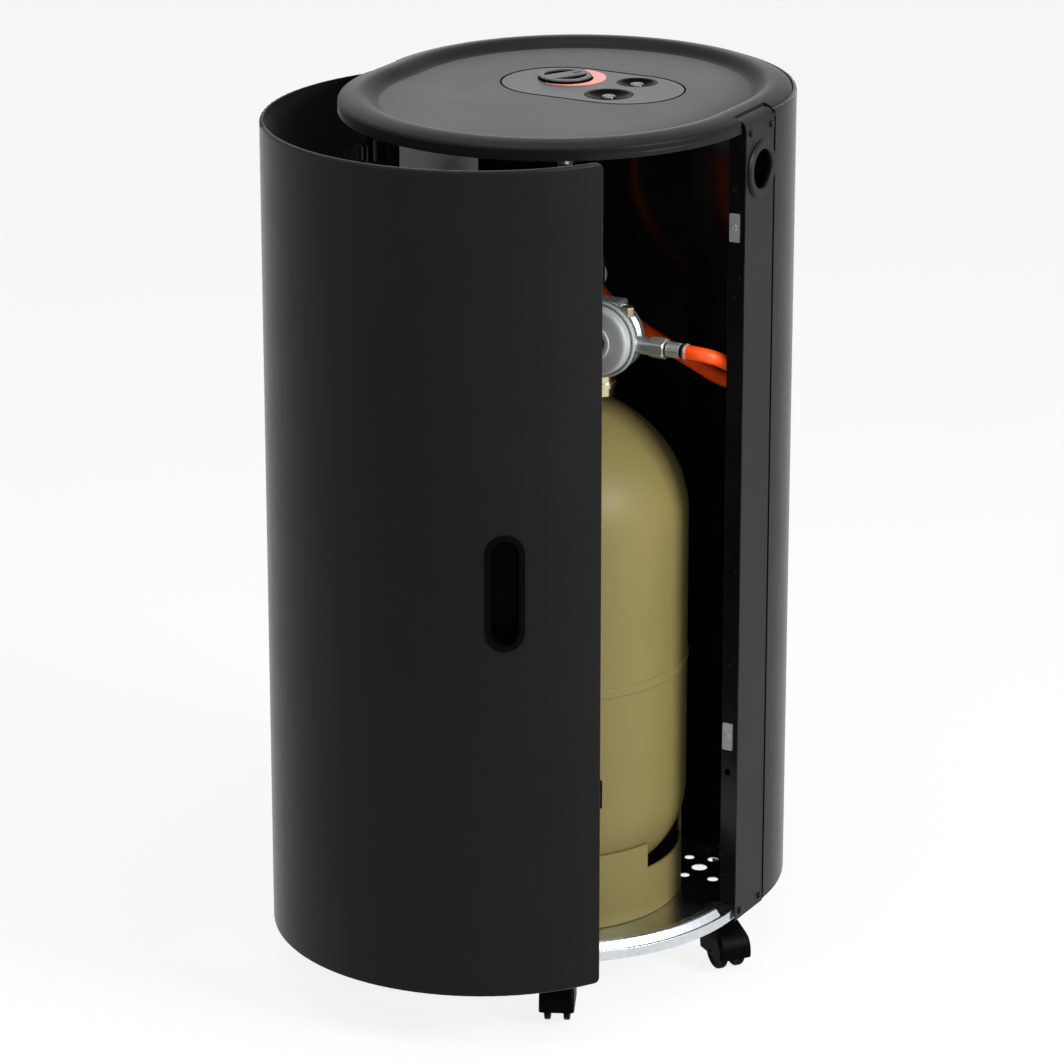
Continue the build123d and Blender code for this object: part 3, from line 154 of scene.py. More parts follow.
def surface_grain_group():
    """Fine grain, slow mottling and pale specks, on the piece's own coordinates."""
    tree, source, result = new_group(
        "surface_grain",
        [("Colour", "colour", (0.5, 0.5, 0.5, 1)), ("Grain Size", "value", 0.001),
         ("Mottle", "value", 0.2), ("Specks", "value", 0.0),
         ("Roughness", "value", 0.5), ("Roughness Spread", "value", 0.1)],
        [("Colour", "colour"), ("Roughness", "value"), ("Height", "value")])
    place = add_node(tree, "ShaderNodeTexCoord").outputs["Object"]
    grain = add_node(tree, "ShaderNodeTexNoise", Detail=2.0, Roughness=0.6)
    tree.links.new(place, grain.inputs["Vector"])
    tree.links.new(maths(tree, "DIVIDE", 1.0, source.outputs["Grain Size"]), grain.inputs["Scale"])
    slow = add_node(tree, "ShaderNodeTexNoise", Scale=7.0, Detail=5.0, Roughness=0.65)
    tree.links.new(place, slow.inputs["Vector"])
    cloud = ranged(tree, slow.outputs["Fac"], 0.3, 0.7, -1.0, 1.0)
    tone = add_node(tree, "ShaderNodeVectorMath", operation="SCALE")
    tree.links.new(source.outputs["Colour"], tone.inputs[0])
    mottle = maths(tree, "MULTIPLY_ADD", cloud, source.outputs["Mottle"], 1.0)
    tree.links.new(mottle, tone.inputs["Scale"])
    dots = add_node(tree, "ShaderNodeTexVoronoi", Scale=160.0)
    tree.links.new(place, dots.inputs["Vector"])
    chance = add_node(tree, "ShaderNodeSeparateColor")
    tree.links.new(dots.outputs["Color"], chance.inputs[0])
    few = maths(tree, "GREATER_THAN", chance.outputs[0], 0.75)
    dot = maths(tree, "MULTIPLY", ranged(tree, dots.outputs["Distance"], 0.16, 0.05), few)
    share = maths(tree, "MULTIPLY", dot, source.outputs["Specks"])
    colour = mixed(tree, share, tone.outputs["Vector"], (0.55, 0.55, 0.55, 1))
    rough = maths(tree, "MULTIPLY_ADD", cloud, source.outputs["Roughness Spread"],
                  source.outputs["Roughness"], use_clamp=True)
    tree.links.new(colour, result.inputs["Colour"])
    tree.links.new(rough, result.inputs["Roughness"])
    tree.links.new(grain.outputs["Fac"], result.inputs["Height"])
    return tree


def edge_wear_and_highlight_group():
    """Mask of the sharp edges, broken up by noise, for rubbed corners and for painted highlights along edges.
    """
    tree, source, result = new_group("edge_wear_and_highlight", [("Width", "value", 0.001), ("Amount", "value", 0.5)],
                                     [("Mask", "value"), ("Normal", "vector")])
    rounded = add_node(tree, "ShaderNodeBevel", samples=4)
    tree.links.new(source.outputs["Width"], rounded.inputs["Radius"])
    shape = add_node(tree, "ShaderNodeNewGeometry")
    match = add_node(tree, "ShaderNodeVectorMath", operation="DOT_PRODUCT")
    tree.links.new(rounded.outputs["Normal"], match.inputs[0])
    tree.links.new(shape.outputs["Normal"], match.inputs[1])
    place = add_node(tree, "ShaderNodeTexCoord")
    patchy = add_node(tree, "ShaderNodeTexNoise", Scale=60.0, Detail=4.0)
    tree.links.new(place.outputs["Object"], patchy.inputs["Vector"])
    edge = ranged(tree, match.outputs["Value"], 0.99, 0.8)
    broken = maths(tree, "MULTIPLY", edge, ranged(tree, patchy.outputs["Fac"], 0.45, 0.65, 0.25, 1.0))
    tree.links.new(maths(tree, "MULTIPLY", broken, source.outputs["Amount"]), result.inputs["Mask"])
    tree.links.new(rounded.outputs["Normal"], result.inputs["Normal"])
    return tree


surface_grain = surface_grain_group()
edge_wear_and_highlight = edge_wear_and_highlight_group()


def finish(name, colour, roughness, grain, depth, mottle=0.1, specks=0.0, spread=0.05,
           edge_marks=None, edge_colour=(0.5, 0.5, 0.5, 1), **shader_values):
    """A grained finish, with grain size and depth in metres. The edge pair gives the width and share of the
    sharp edges that are rubbed or carry a painted highlight, drawn in the edge colour.
    """
    material = bpy.data.materials.new(name)
    material.use_nodes = True
    tree = material.node_tree
    shader = tree.nodes["Principled BSDF"]
    for key, value in shader_values.items():
        shader.inputs[key.replace("_", " ")].default_value = value
    surface = use_group(tree, surface_grain, Colour=(*colour, 1), Grain_Size=grain, Mottle=mottle,
                        Specks=specks, Roughness=roughness, Roughness_Spread=spread)
    bump = add_node(tree, "ShaderNodeBump", Strength=1.0, Distance=depth)
    tree.links.new(surface.outputs["Height"], bump.inputs["Height"])
    tree.links.new(surface.outputs["Roughness"], shader.inputs["Roughness"])
    tree.links.new(bump.outputs["Normal"], shader.inputs["Normal"])
    shade = surface.outputs["Colour"]
    if edge_marks:
        edge_marker = use_group(tree, edge_wear_and_highlight, Width=edge_marks[0], Amount=edge_marks[1])
        tree.links.new(edge_marker.outputs["Normal"], bump.inputs["Normal"])
        shade = mixed(tree, edge_marker.outputs["Mask"], shade, edge_colour)
    tree.links.new(shade, shader.inputs["Base Color"])
    return material


def dress(material, *names):
    """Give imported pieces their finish."""
    for name in names:
        nodes[name].data.materials.clear()
        nodes[name].data.materials.append(material)


hose_rubber = finish("orange_hose_rubber", (0.93, 0.078, 0.003), 0.38, 0.0012, 0.00008,
                     mottle=0.12, specks=0.1, Specular_IOR_Level=0.4)
hose_curve = bpy.data.curves.new("orange_gas_hose", "CURVE")
hose_curve.dimensions = "3D"
hose_curve.bevel_depth = hose_radius
hose_curve.bevel_resolution = 8
hose_curve.resolution_u = 12
hose_curve.use_fill_caps = True
hose_line = hose_curve.splines.new("NURBS")
hose_line.points.add(len(hose_points) - 1)
for point, place in zip(hose_line.points, hose_points):
    point.co = (*place, 1)
hose_line.order_u = 3
hose_line.use_endpoint_u = True
hose_curve.materials.append(hose_rubber)
hose = piece_from("orange_gas_hose", hose_curve, "cabinet", ["gas_hose"])

# ---- Base pan
# A tray pressed from zinc-plated steel carries everything. Its flat rim runs round a sunk floor,
# which has two groups of air holes, and a pressed bead stiffens the rim at the door.
zinc = finish("zinc_plated_steel", (0.66, 0.69, 0.72), 0.24, 0.0016, 0.00003, mottle=0.1, specks=0.05,
              spread=0.08, edge_marks=(0.0006, 0.4), edge_colour=(0.85, 0.86, 0.88, 1), Metallic=1.0)


def zinc_crystals(material, size, contrast):
    """Lay the pale and dark crystal patches of zinc over a metal finish."""
    tree = material.node_tree
    shader = tree.nodes["Principled BSDF"]
    place = add_node(tree, "ShaderNodeTexCoord")
    cells = add_node(tree, "ShaderNodeTexVoronoi", Scale=1 / size)
    tree.links.new(place.outputs["Object"], cells.inputs["Vector"])
    parts = add_node(tree, "ShaderNodeSeparateColor")
    tree.links.new(cells.outputs["Color"], parts.inputs[0])
    shade = ranged(tree, parts.outputs[0], 0.0, 1.0, 1.0 - contrast, 1.0)
    tone = add_node(tree, "ShaderNodeVectorMath", operation="SCALE")
    tree.links.new(shader.inputs["Base Color"].links[0].from_socket, tone.inputs[0])
    tree.links.new(shade, tone.inputs["Scale"])
    tree.links.new(tone.outputs["Vector"], shader.inputs["Base Color"])
    rough = shader.inputs["Roughness"].links[0].from_socket
    patchy = maths(tree, "MULTIPLY_ADD", parts.outputs[1], contrast * 0.5, rough)
    tree.links.new(patchy, shader.inputs["Roughness"])


crystal_size = 0.004
crystal_contrast = 0.09
zinc_crystals(zinc, crystal_size, crystal_contrast)
dress(zinc, "base_pan", "castor_sockets")
pan_half_straight = 0.031
bead_section = [(0.2042, 0.0698), (0.2036, 0.0710), (0.1992, 0.0762), (0.1968, 0.0772),
                (0.1935, 0.0770), (0.1820, 0.0706), (0.1816, 0.0698)]
bead_turns = range(5, 176, 2)
bead_smooth_angle = 25


def finished_mesh(name, shape, material, smooth_angle=35):
    """Close a shape's normals outwards and make it a mesh that is smooth but for its sharp edges."""
    bmesh.ops.recalc_face_normals(shape, faces=shape.faces)
    for face in shape.faces:
        face.smooth = True
    for edge in shape.edges:
        edge.smooth = edge.is_manifold and edge.calc_face_angle(0) < math.radians(smooth_angle)
    mesh = bpy.data.meshes.new(name)
    shape.to_mesh(mesh)
    shape.free()
    mesh.materials.append(material)
    return mesh


def swept_section(shape, stations, closed):
    """Skin a row of cross-sections, each a list of points, into a closed bar or a closed ring."""
    rows = [[shape.verts.new(point) for point in station] for station in stations]
    spans = list(zip(rows, rows[1:])) + ([(rows[-1], rows[0])] if closed else [])
    for near, far in spans:
        for first, second, third, fourth in zip(near, far, far[1:] + far[:1], near[1:] + near[:1]):
            shape.faces.new((first, second, third, fourth))
    if not closed:
        shape.faces.new(rows[0])
        shape.faces.new(rows[-1])


def section_at(section, turn, middle):
    """A section of radii and heights, stood at one turn round a half round centred on the Y axis."""
    way = math.radians(turn)
    return [(radius * math.cos(way), middle + radius * math.sin(way), height)
            for radius, height in section]


bead = bmesh.new()
swept_section(bead, [section_at(bead_section, turn, pan_half_straight) for turn in bead_turns], False)
piece_from("pan_rim_bead", finished_mesh("pan_rim_bead", bead, zinc, bead_smooth_angle),
           "cabinet")

# ---- Castors
# Six twin-wheel castors. Each has a black moulded fork on a steel stem, and two plastic wheels with
# a smooth tread and a dished hub, pressed on one axle.
wheel_radius = 0.020
wheel_width = 0.006
wheel_spacing = 0.019
wheel_round = 0.0014
dish_radii = (0.0045, 0.0145)
dish_depth = 0.0012
wheel_rim_radius = 0.0165
axle_radius = 0.0019
fork_plastic = finish("moulded_castor_fork", (0.0009, 0.0009, 0.0010), 0.42, 0.0009, 0.00005,
                      mottle=0.2, edge_marks=(0.0006, 0.08), edge_colour=(0.015, 0.015, 0.015, 1),
                      Specular_IOR_Level=0.025)
wheel_plastic = finish("castor_wheel_plastic", (0.0012, 0.0012, 0.0013), 0.5, 0.0006, 0.00008,
                       mottle=0.3, specks=0.05, edge_marks=(0.0008, 0.25), edge_colour=(0.02, 0.02, 0.019, 1),
                       Specular_IOR_Level=0.03)


def turned_shape(shape, profile, place, axis, segments=64):
    """Turn a half outline of radius and height round an axis. Points on the axis close the shape."""
    frame_turn = Matrix.Translation(place) @ Vector(axis).to_track_quat("Z", "Y").to_matrix().to_4x4()
    rings = []
    for radius, height in profile:
        count = 1 if radius == 0 else segments
        ring = []
        for step in range(count):
            turn = math.tau * step / segments
            spot = frame_turn @ Vector((radius * math.cos(turn), radius * math.sin(turn), height))
            ring.append(shape.verts.new(spot))
        rings.append(ring)
    for low, high in zip(rings, rings[1:]):
        for step in range(segments):
            after = (step + 1) % segments
            corners = [low[step % len(low)], low[after % len(low)],
                       high[after % len(high)], high[step % len(high)]]
            shape.faces.new(list(dict.fromkeys(corners)))


def rounded_steps(points, radius, steps=4):
    """Round the inner corners of an outline with short arcs."""
    rounded = [points[0]]
    for before, here, after in zip(points, points[1:], points[2:]):
        here = Vector(here)
        back = Vector(before) - here
        ahead = Vector(after) - here
        reach = min(radius, back.length / 2, ahead.length / 2)
        start = here + back.normalized() * reach
        end = here + ahead.normalized() * reach
        for step in range(steps + 1):
            share = step / steps
            rounded.append(tuple((1 - share) ** 2 * start + 2 * share * (1 - share) * here +
                                 share ** 2 * end))
    return rounded + [points[-1]]


half_width = wheel_width / 2
half_outline = [(wheel_radius, half_width), (wheel_rim_radius, half_width),
                (dish_radii[1], half_width - dish_depth), (dish_radii[0], half_width), (0, half_width)]
wheel_section = rounded_steps([(radius, -height) for radius, height in reversed(half_outline)]
                              + half_outline, wheel_round)
axle_reach = wheel_spacing / 2
axle_section = [(0, -axle_reach), (axle_radius, -axle_reach), (axle_radius, axle_reach), (0, axle_reach)]
for number in range(1, 7):
    roll = joints[f"wheel_roll_{number}"]
    middle, axis = Vector(roll["pos_m"]), Vector(roll["axis"])
    pair = bmesh.new()
    for side in (-1, 1):
        turned_shape(pair, wheel_section, middle + axis * side * wheel_spacing / 2, axis, 48)
    turned_shape(pair, axle_section, middle, axis, 16)
    name = f"castor_wheel_pair_{number}"
    piece_from(name, finished_mesh(name, pair, wheel_plastic), f"wheels_{number}",
               [f"castor_wheels_{number}"])
dress(fork_plastic, *[f"castor_hood_{number}" for number in range(1, 7)])

# ---- Uprights and divider
# Folded steel posts stand behind the side strips, and a folded sheet parts the bottle bay from the
# burner. The posts are satin black, and the divider's glossier black mirrors the hose faintly.
inner_black = finish("satin_inner_paint", (0.004, 0.004, 0.0042), 0.24, 0.002, 0.00003,
                     mottle=0.15, specks=0.1, edge_marks=(0.0005, 0.1), edge_colour=(0.03, 0.03, 0.03, 1),
                     Specular_IOR_Level=0.45)
dress(inner_black, "upright_left", "upright_right")
divider_black = finish("divider_gloss_paint", (0.004, 0.004, 0.0042), 0.15, 0.002, 0.00003,
                       mottle=0.15, edge_marks=(0.0005, 0.1), edge_colour=(0.03, 0.03, 0.03, 1),
                       Specular_IOR_Level=0.9)
dress(divider_black, "heat_shield")

# ---- Burner
# A bright rolled-steel reflector box is fixed to the divider. Three ceramic plaques, each moulded
# with hundreds of flame holes, are clamped over its gas chamber, with a pilot and electrode below.
plaque_middle_y = -0.172
plaque_width = 0.132
plaque_height = 0.092
plaque_thick = 0.012
plaque_step = 0.096
plaque_low = 0.362
plaque_count = 3
plaque_round = 0.0012
field_margin = 0.005
field_thick = 0.0010
hole_pitch = 0.0031
hole_share = 0.56
hole_depth = 0.0008
cell_weld = 0.0001
layer_weld = 0.00001
reflector = finish("bright_reflector_steel", (0.62, 0.62, 0.63), 0.2, 0.003, 0.00003,
                   mottle=0.06, spread=0.08, edge_marks=(0.0005, 0.3), edge_colour=(0.8, 0.8, 0.8, 1), Metallic=1.0)
ceramic = finish("burner_ceramic", (0.78, 0.73, 0.64), 0.82, 0.0009, 0.0002, mottle=0.08, specks=0.1)


def socket_node(tree, kind, links=(), **values):
    """Add a geometry node, set its properties or plain inputs, and link sockets to its named inputs."""
    node = add_node(tree, kind, **values)
    for name, socket in dict(links).items():
        tree.links.new(socket, node.inputs[name])
    return node


def geometry_tree(name, inputs):
    """Start a Geometry Nodes tree with a geometry input, named value inputs and a material."""
    tree = bpy.data.node_groups.new(name, "GeometryNodeTree")
    tree.interface.new_socket("Geometry", in_out="INPUT", socket_type="NodeSocketGeometry")
    for label, start in inputs.items():
        socket = tree.interface.new_socket(label, in_out="INPUT", socket_type="NodeSocketFloat")
        socket.default_value = start
    tree.interface.new_socket("Material", in_out="INPUT", socket_type="NodeSocketMaterial")
    tree.interface.new_socket("Geometry", in_out="OUTPUT", socket_type="NodeSocketGeometry")
    return tree, tree.nodes.new("NodeGroupInput"), tree.nodes.new("NodeGroupOutput")


def end_tree(tree, source, result, geometry):
    """Realise the instances and give the result its material."""
    real = socket_node(tree, "GeometryNodeRealizeInstances", {"Geometry": geometry})
    coat = socket_node(tree, "GeometryNodeSetMaterial", {"Geometry": real.outputs[0],
                                                         "Material": source.outputs["Material"]})
    tree.links.new(coat.outputs[0], result.inputs["Geometry"])


def grown_mesh(name, start, tree, values):
    """Run a tree on a start mesh with its named inputs set, and return the plain mesh that it makes."""
    holder = bpy.data.objects.new(name, start)
    bpy.context.scene.collection.objects.link(holder)
    modifier = holder.modifiers.new(name, "NODES")
    modifier.node_group = tree
    for item in tree.interface.items_tree:
        if item.in_out == "INPUT" and item.name in values:
            modifier[item.identifier] = values[item.name]
    ready = holder.evaluated_get(bpy.context.evaluated_depsgraph_get())
    mesh = bpy.data.meshes.new_from_object(ready)
    holder.modifiers.remove(modifier)
    bpy.data.objects.remove(holder)
    mesh.name = name
    return mesh


def flame_hole_tree():
    """A closed field of hexagon cells, each with a hole sunk into it."""
    tree, source, result = geometry_tree("flame_hole_field", {
        "Pitch": hole_pitch, "Thickness": field_thick, "Hole Share": hole_share, "Hole Depth": hole_depth})
    cell = socket_node(tree, "GeometryNodeMeshCircle", fill_type="NGON", Vertices=6)
    tree.links.new(maths(tree, "DIVIDE", source.outputs["Pitch"], math.sqrt(3)), cell.inputs["Radius"])
    turned = socket_node(tree, "GeometryNodeTransform", {"Geometry": cell.outputs[0]},
                         Rotation=(0, 0, math.radians(30)))
    laid = socket_node(tree, "GeometryNodeInstanceOnPoints",
                       {"Points": source.outputs["Geometry"], "Instance": turned.outputs[0]})
    cells = socket_node(tree, "GeometryNodeRealizeInstances", {"Geometry": laid.outputs[0]})
    sheet = socket_node(tree, "GeometryNodeMergeByDistance", {"Geometry": cells.outputs[0]},
                        Distance=cell_weld)
    back = socket_node(tree, "GeometryNodeFlipFaces", {"Mesh": sheet.outputs[0]})
    raised = socket_node(tree, "GeometryNodeExtrudeMesh",
                         {"Mesh": sheet.outputs[0], "Offset Scale": source.outputs["Thickness"]},
                         Individual=False)
    inset = socket_node(tree, "GeometryNodeExtrudeMesh",
                        {"Mesh": raised.outputs[0], "Selection": raised.outputs["Top"]}, Offset_Scale=0.0)
    narrowed = socket_node(tree, "GeometryNodeScaleElements",
                           {"Geometry": inset.outputs[0], "Selection": inset.outputs["Top"],
                            "Scale": source.outputs["Hole Share"]})
    sunk = socket_node(tree, "GeometryNodeExtrudeMesh",
                       {"Mesh": narrowed.outputs[0], "Selection": inset.outputs["Top"],
                        "Offset Scale": maths(tree, "MULTIPLY", source.outputs["Hole Depth"], -1.0)})
    both = tree.nodes.new("GeometryNodeJoinGeometry")
    tree.links.new(back.outputs[0], both.inputs[0])
    tree.links.new(sunk.outputs[0], both.inputs[0])
    joined = socket_node(tree, "GeometryNodeMergeByDistance", {"Geometry": both.outputs[0]},
                         Distance=layer_weld)
    end_tree(tree, source, result, joined.outputs[0])
    return tree


plaque_shape = bmesh.new()
lattice = bpy.data.meshes.new("flame_hole_places")
row_step = hole_pitch * math.sqrt(3) / 2
rows_each_way = int((plaque_height / 2 - field_margin) / row_step)
columns_each_way = int((plaque_width / 2 - field_margin) / hole_pitch)
lattice.from_pydata([(column * hole_pitch + row % 2 * hole_pitch / 2, row * row_step, 0)
                     for row in range(-rows_each_way, rows_each_way + 1)
                     for column in range(-columns_each_way, columns_each_way)], [], [])
field = grown_mesh("flame_hole_field", lattice, flame_hole_tree(), {"Material": ceramic})
plaque_front = plaque_middle_y + field_thick
block_thick = plaque_thick - field_thick
for number in range(plaque_count):
    plaque_middle_z = plaque_low + number * plaque_step + plaque_height / 2
    block = bmesh.ops.create_cube(plaque_shape, size=1)["verts"]
    bmesh.ops.scale(plaque_shape, vec=(plaque_width, block_thick, plaque_height), verts=block)
    bmesh.ops.translate(plaque_shape, verts=block,
                        vec=(0, plaque_front + block_thick / 2, plaque_middle_z))
    corners = list(dict.fromkeys(edge for vert in block for edge in vert.link_edges))
    bmesh.ops.bevel(plaque_shape, geom=corners, offset=plaque_round, segments=3, affect="EDGES",
                    profile=0.5)
    placed = field.copy()
    placed.transform(Matrix.Translation((0, plaque_front, plaque_middle_z)) @
                     Matrix.Rotation(math.pi / 2, 4, "X"))
    plaque_shape.from_mesh(placed)
piece_from("perforated_ceramic_plaques",
           finished_mesh("perforated_ceramic_plaques", plaque_shape, ceramic),
           "cabinet", ["ceramic_plaques"])
dress(reflector, "burner_housing", "pilot_burner")

# ---- Guard grille
# A slotted steel guard, bent to the shell's curve and dipped in satin black heat-proof enamel.
enamel = finish("grille_enamel", (0.006, 0.006, 0.006), 0.36, 0.0012, 0.00008, mottle=0.2, specks=0.1,
                edge_marks=(0.0004, 0.15), edge_colour=(0.06, 0.055, 0.05, 1), Specular_IOR_Level=0.35)
dress(enamel, "guard_grille")

# ---- Shells, side strips and top plate
# Rolled and pressed steel sheet in a fine-textured matt black powder coat. It is nearly black face
# on and turns charcoal where it is seen at a low angle. A domed rim runs round the lid.
powder_colour = (0.0055, 0.0056, 0.0062)
# The powder coat's sharp edges are drawn pale. This is partly rubbed wear and partly a painted highlight
# where the lips catch the overhead light.
powder_edge_wear_and_highlight = (0.14, 0.14, 0.145, 1)
powder_black = finish("textured_powder_coat", powder_colour, 0.42, 0.0010, 0.00009,
                      mottle=0.08, specks=0.01, spread=0.04, edge_marks=(0.0008, 0.35), edge_colour=powder_edge_wear_and_highlight,
                      Specular_IOR_Level=0.10, Sheen_Weight=0.4, Sheen_Roughness=0.25)
dress(powder_black, "front_shell", "side_strip_left", "side_strip_right", "door_shell")
lid_black = finish("lid_powder_coat", powder_colour, 0.42, 0.0010, 0.00009,
                   mottle=0.08, specks=0.01, spread=0.04, edge_marks=(0.0008, 0.35), edge_colour=powder_edge_wear_and_highlight,
                   Specular_IOR_Level=0.12, Sheen_Weight=0.5, Sheen_Roughness=0.25)
dress(lid_black, "top_plate")
rim_black = finish("rim_powder_coat", powder_colour, 0.45, 0.0010, 0.00009,
                   mottle=0.08, specks=0.01, spread=0.04, Specular_IOR_Level=0.08, Sheen_Weight=0.26,
                   Sheen_Roughness=0.3)
lid_half_straight = 0.029
notch_radius = 0.1967
rear_turns = (2.0, 178.97)
front_turns = (181.32, 358.68)
rim_steps = 96
rim_smooth_angle = 30
rim_section = [(0.1661, 0.8739), (0.17, 0.87469), (0.173, 0.87625), (0.176, 0.87908), (0.1785, 0.88095),
               (0.181, 0.88212), (0.1835, 0.88279), (0.186, 0.883), (0.189, 0.88289), (0.192, 0.88255),
               (0.1967, 0.88154), (0.198, 0.88116), (0.201, 0.88008), (0.203, 0.87921), (0.20378, 0.87883),
               (0.2046, 0.87829), (0.2052, 0.87765), (0.20565, 0.87689), (0.20592, 0.87605), (0.206, 0.87525),
               (0.206, 0.8712), (0.2055, 0.8708), (0.2048, 0.873), (0.2035, 0.8749), (0.2015, 0.8766),
               (0.198, 0.8775), (0.1967, 0.87749), (0.19, 0.87697), (0.184, 0.87585), (0.178, 0.87414),
               (0.17, 0.8735)]
notch_section = [point for point in rim_section if point[0] <= notch_radius]
rim = bmesh.new()
for (first, last), middle in ((rear_turns, lid_half_straight), (front_turns, -lid_half_straight)):
    swept_section(rim, [section_at(rim_section, first + (last - first) * step / rim_steps, middle)
                        for step in range(rim_steps + 1)], False)
right_notch = ((front_turns[1], -lid_half_straight), (0, -lid_half_straight), (0, lid_half_straight),
               (rear_turns[0], lid_half_straight))
left_notch = ((rear_turns[1], lid_half_straight), (180, lid_half_straight), (180, -lid_half_straight),
              (front_turns[0], -lid_half_straight))
for row in (right_notch, left_notch):
    swept_section(rim, [section_at(notch_section, turn, middle) for turn, middle in row], False)
piece_from("lid_domed_rim", finished_mesh("lid_domed_rim", rim, rim_black, rim_smooth_angle),
           "cabinet")

# ---- Strip screws and grip rings
# Black pan-head screws hold the ends of the strips, a black strip in front of each side strip paints the
# shadow in its seam, and a moulded ring snaps into each grip hole.
screw_black = finish("black_screw_head", (0.002, 0.002, 0.002), 0.25, 0.0008, 0.00003, mottle=0.2,
                     edge_marks=(0.0003, 0.5), edge_colour=(0.1, 0.1, 0.1, 1), Specular_IOR_Level=0.12)
dress(screw_black, "strip_screws")
# Painted shadow: a black strip, standing a little proud, fills the seam's gap in front of each side strip.
seam_shadow_paint = finish("painted_seam_shadow", (0.0008, 0.0008, 0.0008), 0.6, 0.0009, 0.00004, mottle=0.2,
                    Specular_IOR_Level=0.004)
seam_plan = [(0.2088, -0.0330), (0.2102, -0.0330), (0.2102, -0.0302), (0.2088, -0.0302)]
seam_heights = (0.0600, 0.8700)
seams = bmesh.new()
for side in (-1, 1):
    swept_section(seams, [[(side * x, y, height) for x, y in seam_plan] for height in seam_heights],
                  False)
piece_from("painted_seam_shadows", finished_mesh("painted_seam_shadows", seams, seam_shadow_paint), "cabinet")
trim_plastic = finish("moulded_black_trim", (0.003, 0.003, 0.0032), 0.4, 0.0009, 0.00004, mottle=0.15,
                      edge_marks=(0.0005, 0.1), edge_colour=(0.03, 0.03, 0.03, 1), Specular_IOR_Level=0.15)
dress(trim_plastic, "grip_ring_left", "grip_ring_right", "piezo_igniter", "cutoff_switch")

# ---- Control panel, knob and buttons
# A charcoal moulded panel lies in the top plate on a black gasket. Its knob, whose two sunk halves are filled
# with painted shade, turns beside a printed red crescent, and two metal buttons stand in gloss-black dishes.
knob_middle = Vector((0.031, -0.056, 0))
knob_top = 0.878
knob_recess = 0.006
knob_bar_half = 0.008
knob_inner = 0.021
bar_turn = math.radians(62)
shade_start = 0.0008
shade_fade = 0.0012
shade_share = 0.03
inset_gap = 0.0002
inset_rise = 0.0006
inset_steps = 24
pointer_middle = 0.0145
pointer_heights = (-0.0004, 0.00012)
pointer = [(-0.0045, -0.0012), (0.0045, -0.0012), (0.0045, 0.0012), (-0.0045, 0.0012)]
panel_middle = Vector((-0.007, -0.042, 0.8740))
panel_spread = 0.034
gasket_steps = 96
gasket_section = [(0.0589, -0.0006), (0.0589, 0.0001), (0.0593, 0.00035), (0.0604, 0.00035),
                  (0.0608, 0.0001), (0.0608, -0.0006)]
ring_steps = 72
ring_section = [(0.0261, -0.0010), (0.0261, 0.0001), (0.0264, 0.0003), (0.0271, 0.0003),
                (0.0274, 0.0001), (0.0274, -0.0010)]
panel_plastic = finish("charcoal_panel_moulding", (0.055, 0.056, 0.058), 0.4, 0.0008, 0.00004,
                       mottle=0.06, edge_marks=(0.0005, 0.15), edge_colour=(0.1, 0.1, 0.1, 1),
                       Specular_IOR_Level=0.45)
dress(panel_plastic, "control_panel")
knob_plastic = finish("knob_moulding", (0.062, 0.063, 0.065), 0.4, 0.0008, 0.00004, mottle=0.06,
                      edge_marks=(0.0005, 0.15), edge_colour=(0.1, 0.1, 0.1, 1), Specular_IOR_Level=0.45)


def darken_below(material, height, fade, factor):
    """Paint shade into a finish under a height on the piece, as in the sunk halves of the knob: its colour
    and its specular level fall towards the bottom.
    """
    tree = material.node_tree
    shader = tree.nodes["Principled BSDF"]
    place = add_node(tree, "ShaderNodeTexCoord")
    parts = add_node(tree, "ShaderNodeSeparateXYZ")
    tree.links.new(place.outputs["Object"], parts.inputs[0])
    shade = ranged(tree, parts.outputs["Z"], height - fade, height, factor, 1.0)
    tone = add_node(tree, "ShaderNodeVectorMath", operation="SCALE")
    tree.links.new(shader.inputs["Base Color"].links[0].from_socket, tone.inputs[0])
    tree.links.new(shade, tone.inputs["Scale"])
    tree.links.new(tone.outputs["Vector"], shader.inputs["Base Color"])
    level = shader.inputs["Specular IOR Level"]
    tree.links.new(maths(tree, "MULTIPLY", shade, level.default_value), level)


def polar(middle, radius, turn, height):
    """A point at a radius and turn round a middle, and a height above it."""
    return (middle.x + radius * math.cos(turn), middle.y + radius * math.sin(turn), middle.z + height)


# Painted shade: the walls of the knob's sunk halves turn nearly black below the knob's top.
darken_below(knob_plastic, knob_top - shade_start, shade_fade, shade_share)
dress(knob_plastic, "control_knob")
# Black sheets on the floors of the knob's sunk halves are painted shade. The same black draws a thin pointer
# mark on the knob's bar and the gaskets.
shade_and_gasket_black = finish("knob_shade_and_gasket_black", (0.0012, 0.0012, 0.0012), 0.5, 0.0009, 0.00004, mottle=0.2,
                    Specular_IOR_Level=0.004)
insets = bmesh.new()
inset_radius = knob_inner - inset_gap
edge_turn = math.asin((knob_bar_half + inset_gap) / inset_radius)
inset_sweep = math.pi - 2 * edge_turn
inset_floor = knob_top - knob_recess
for side in (0, math.pi):
    swept_section(insets, [[polar(knob_middle, inset_radius,
                                  bar_turn + side + edge_turn + inset_sweep * step / inset_steps, height)
                            for step in range(inset_steps + 1)]
                           for height in (inset_floor - inset_gap, inset_floor + inset_rise)], False)
along = Vector((math.cos(bar_turn), math.sin(bar_turn), 0))
across = Vector((-along.y, along.x, 0))
pointer_place = knob_middle + Vector((0, 0, knob_top)) - along * pointer_middle
swept_section(insets, [[tuple(pointer_place + along * step + across * side + Vector((0, 0, height)))
                        for step, side in pointer] for height in pointer_heights], False)
piece_from("knob_shade_insets_and_pointer", finished_mesh("knob_shade_insets_and_pointer", insets, shade_and_gasket_black),
           "knob")
gasket = bmesh.new()
gasket_stations = []
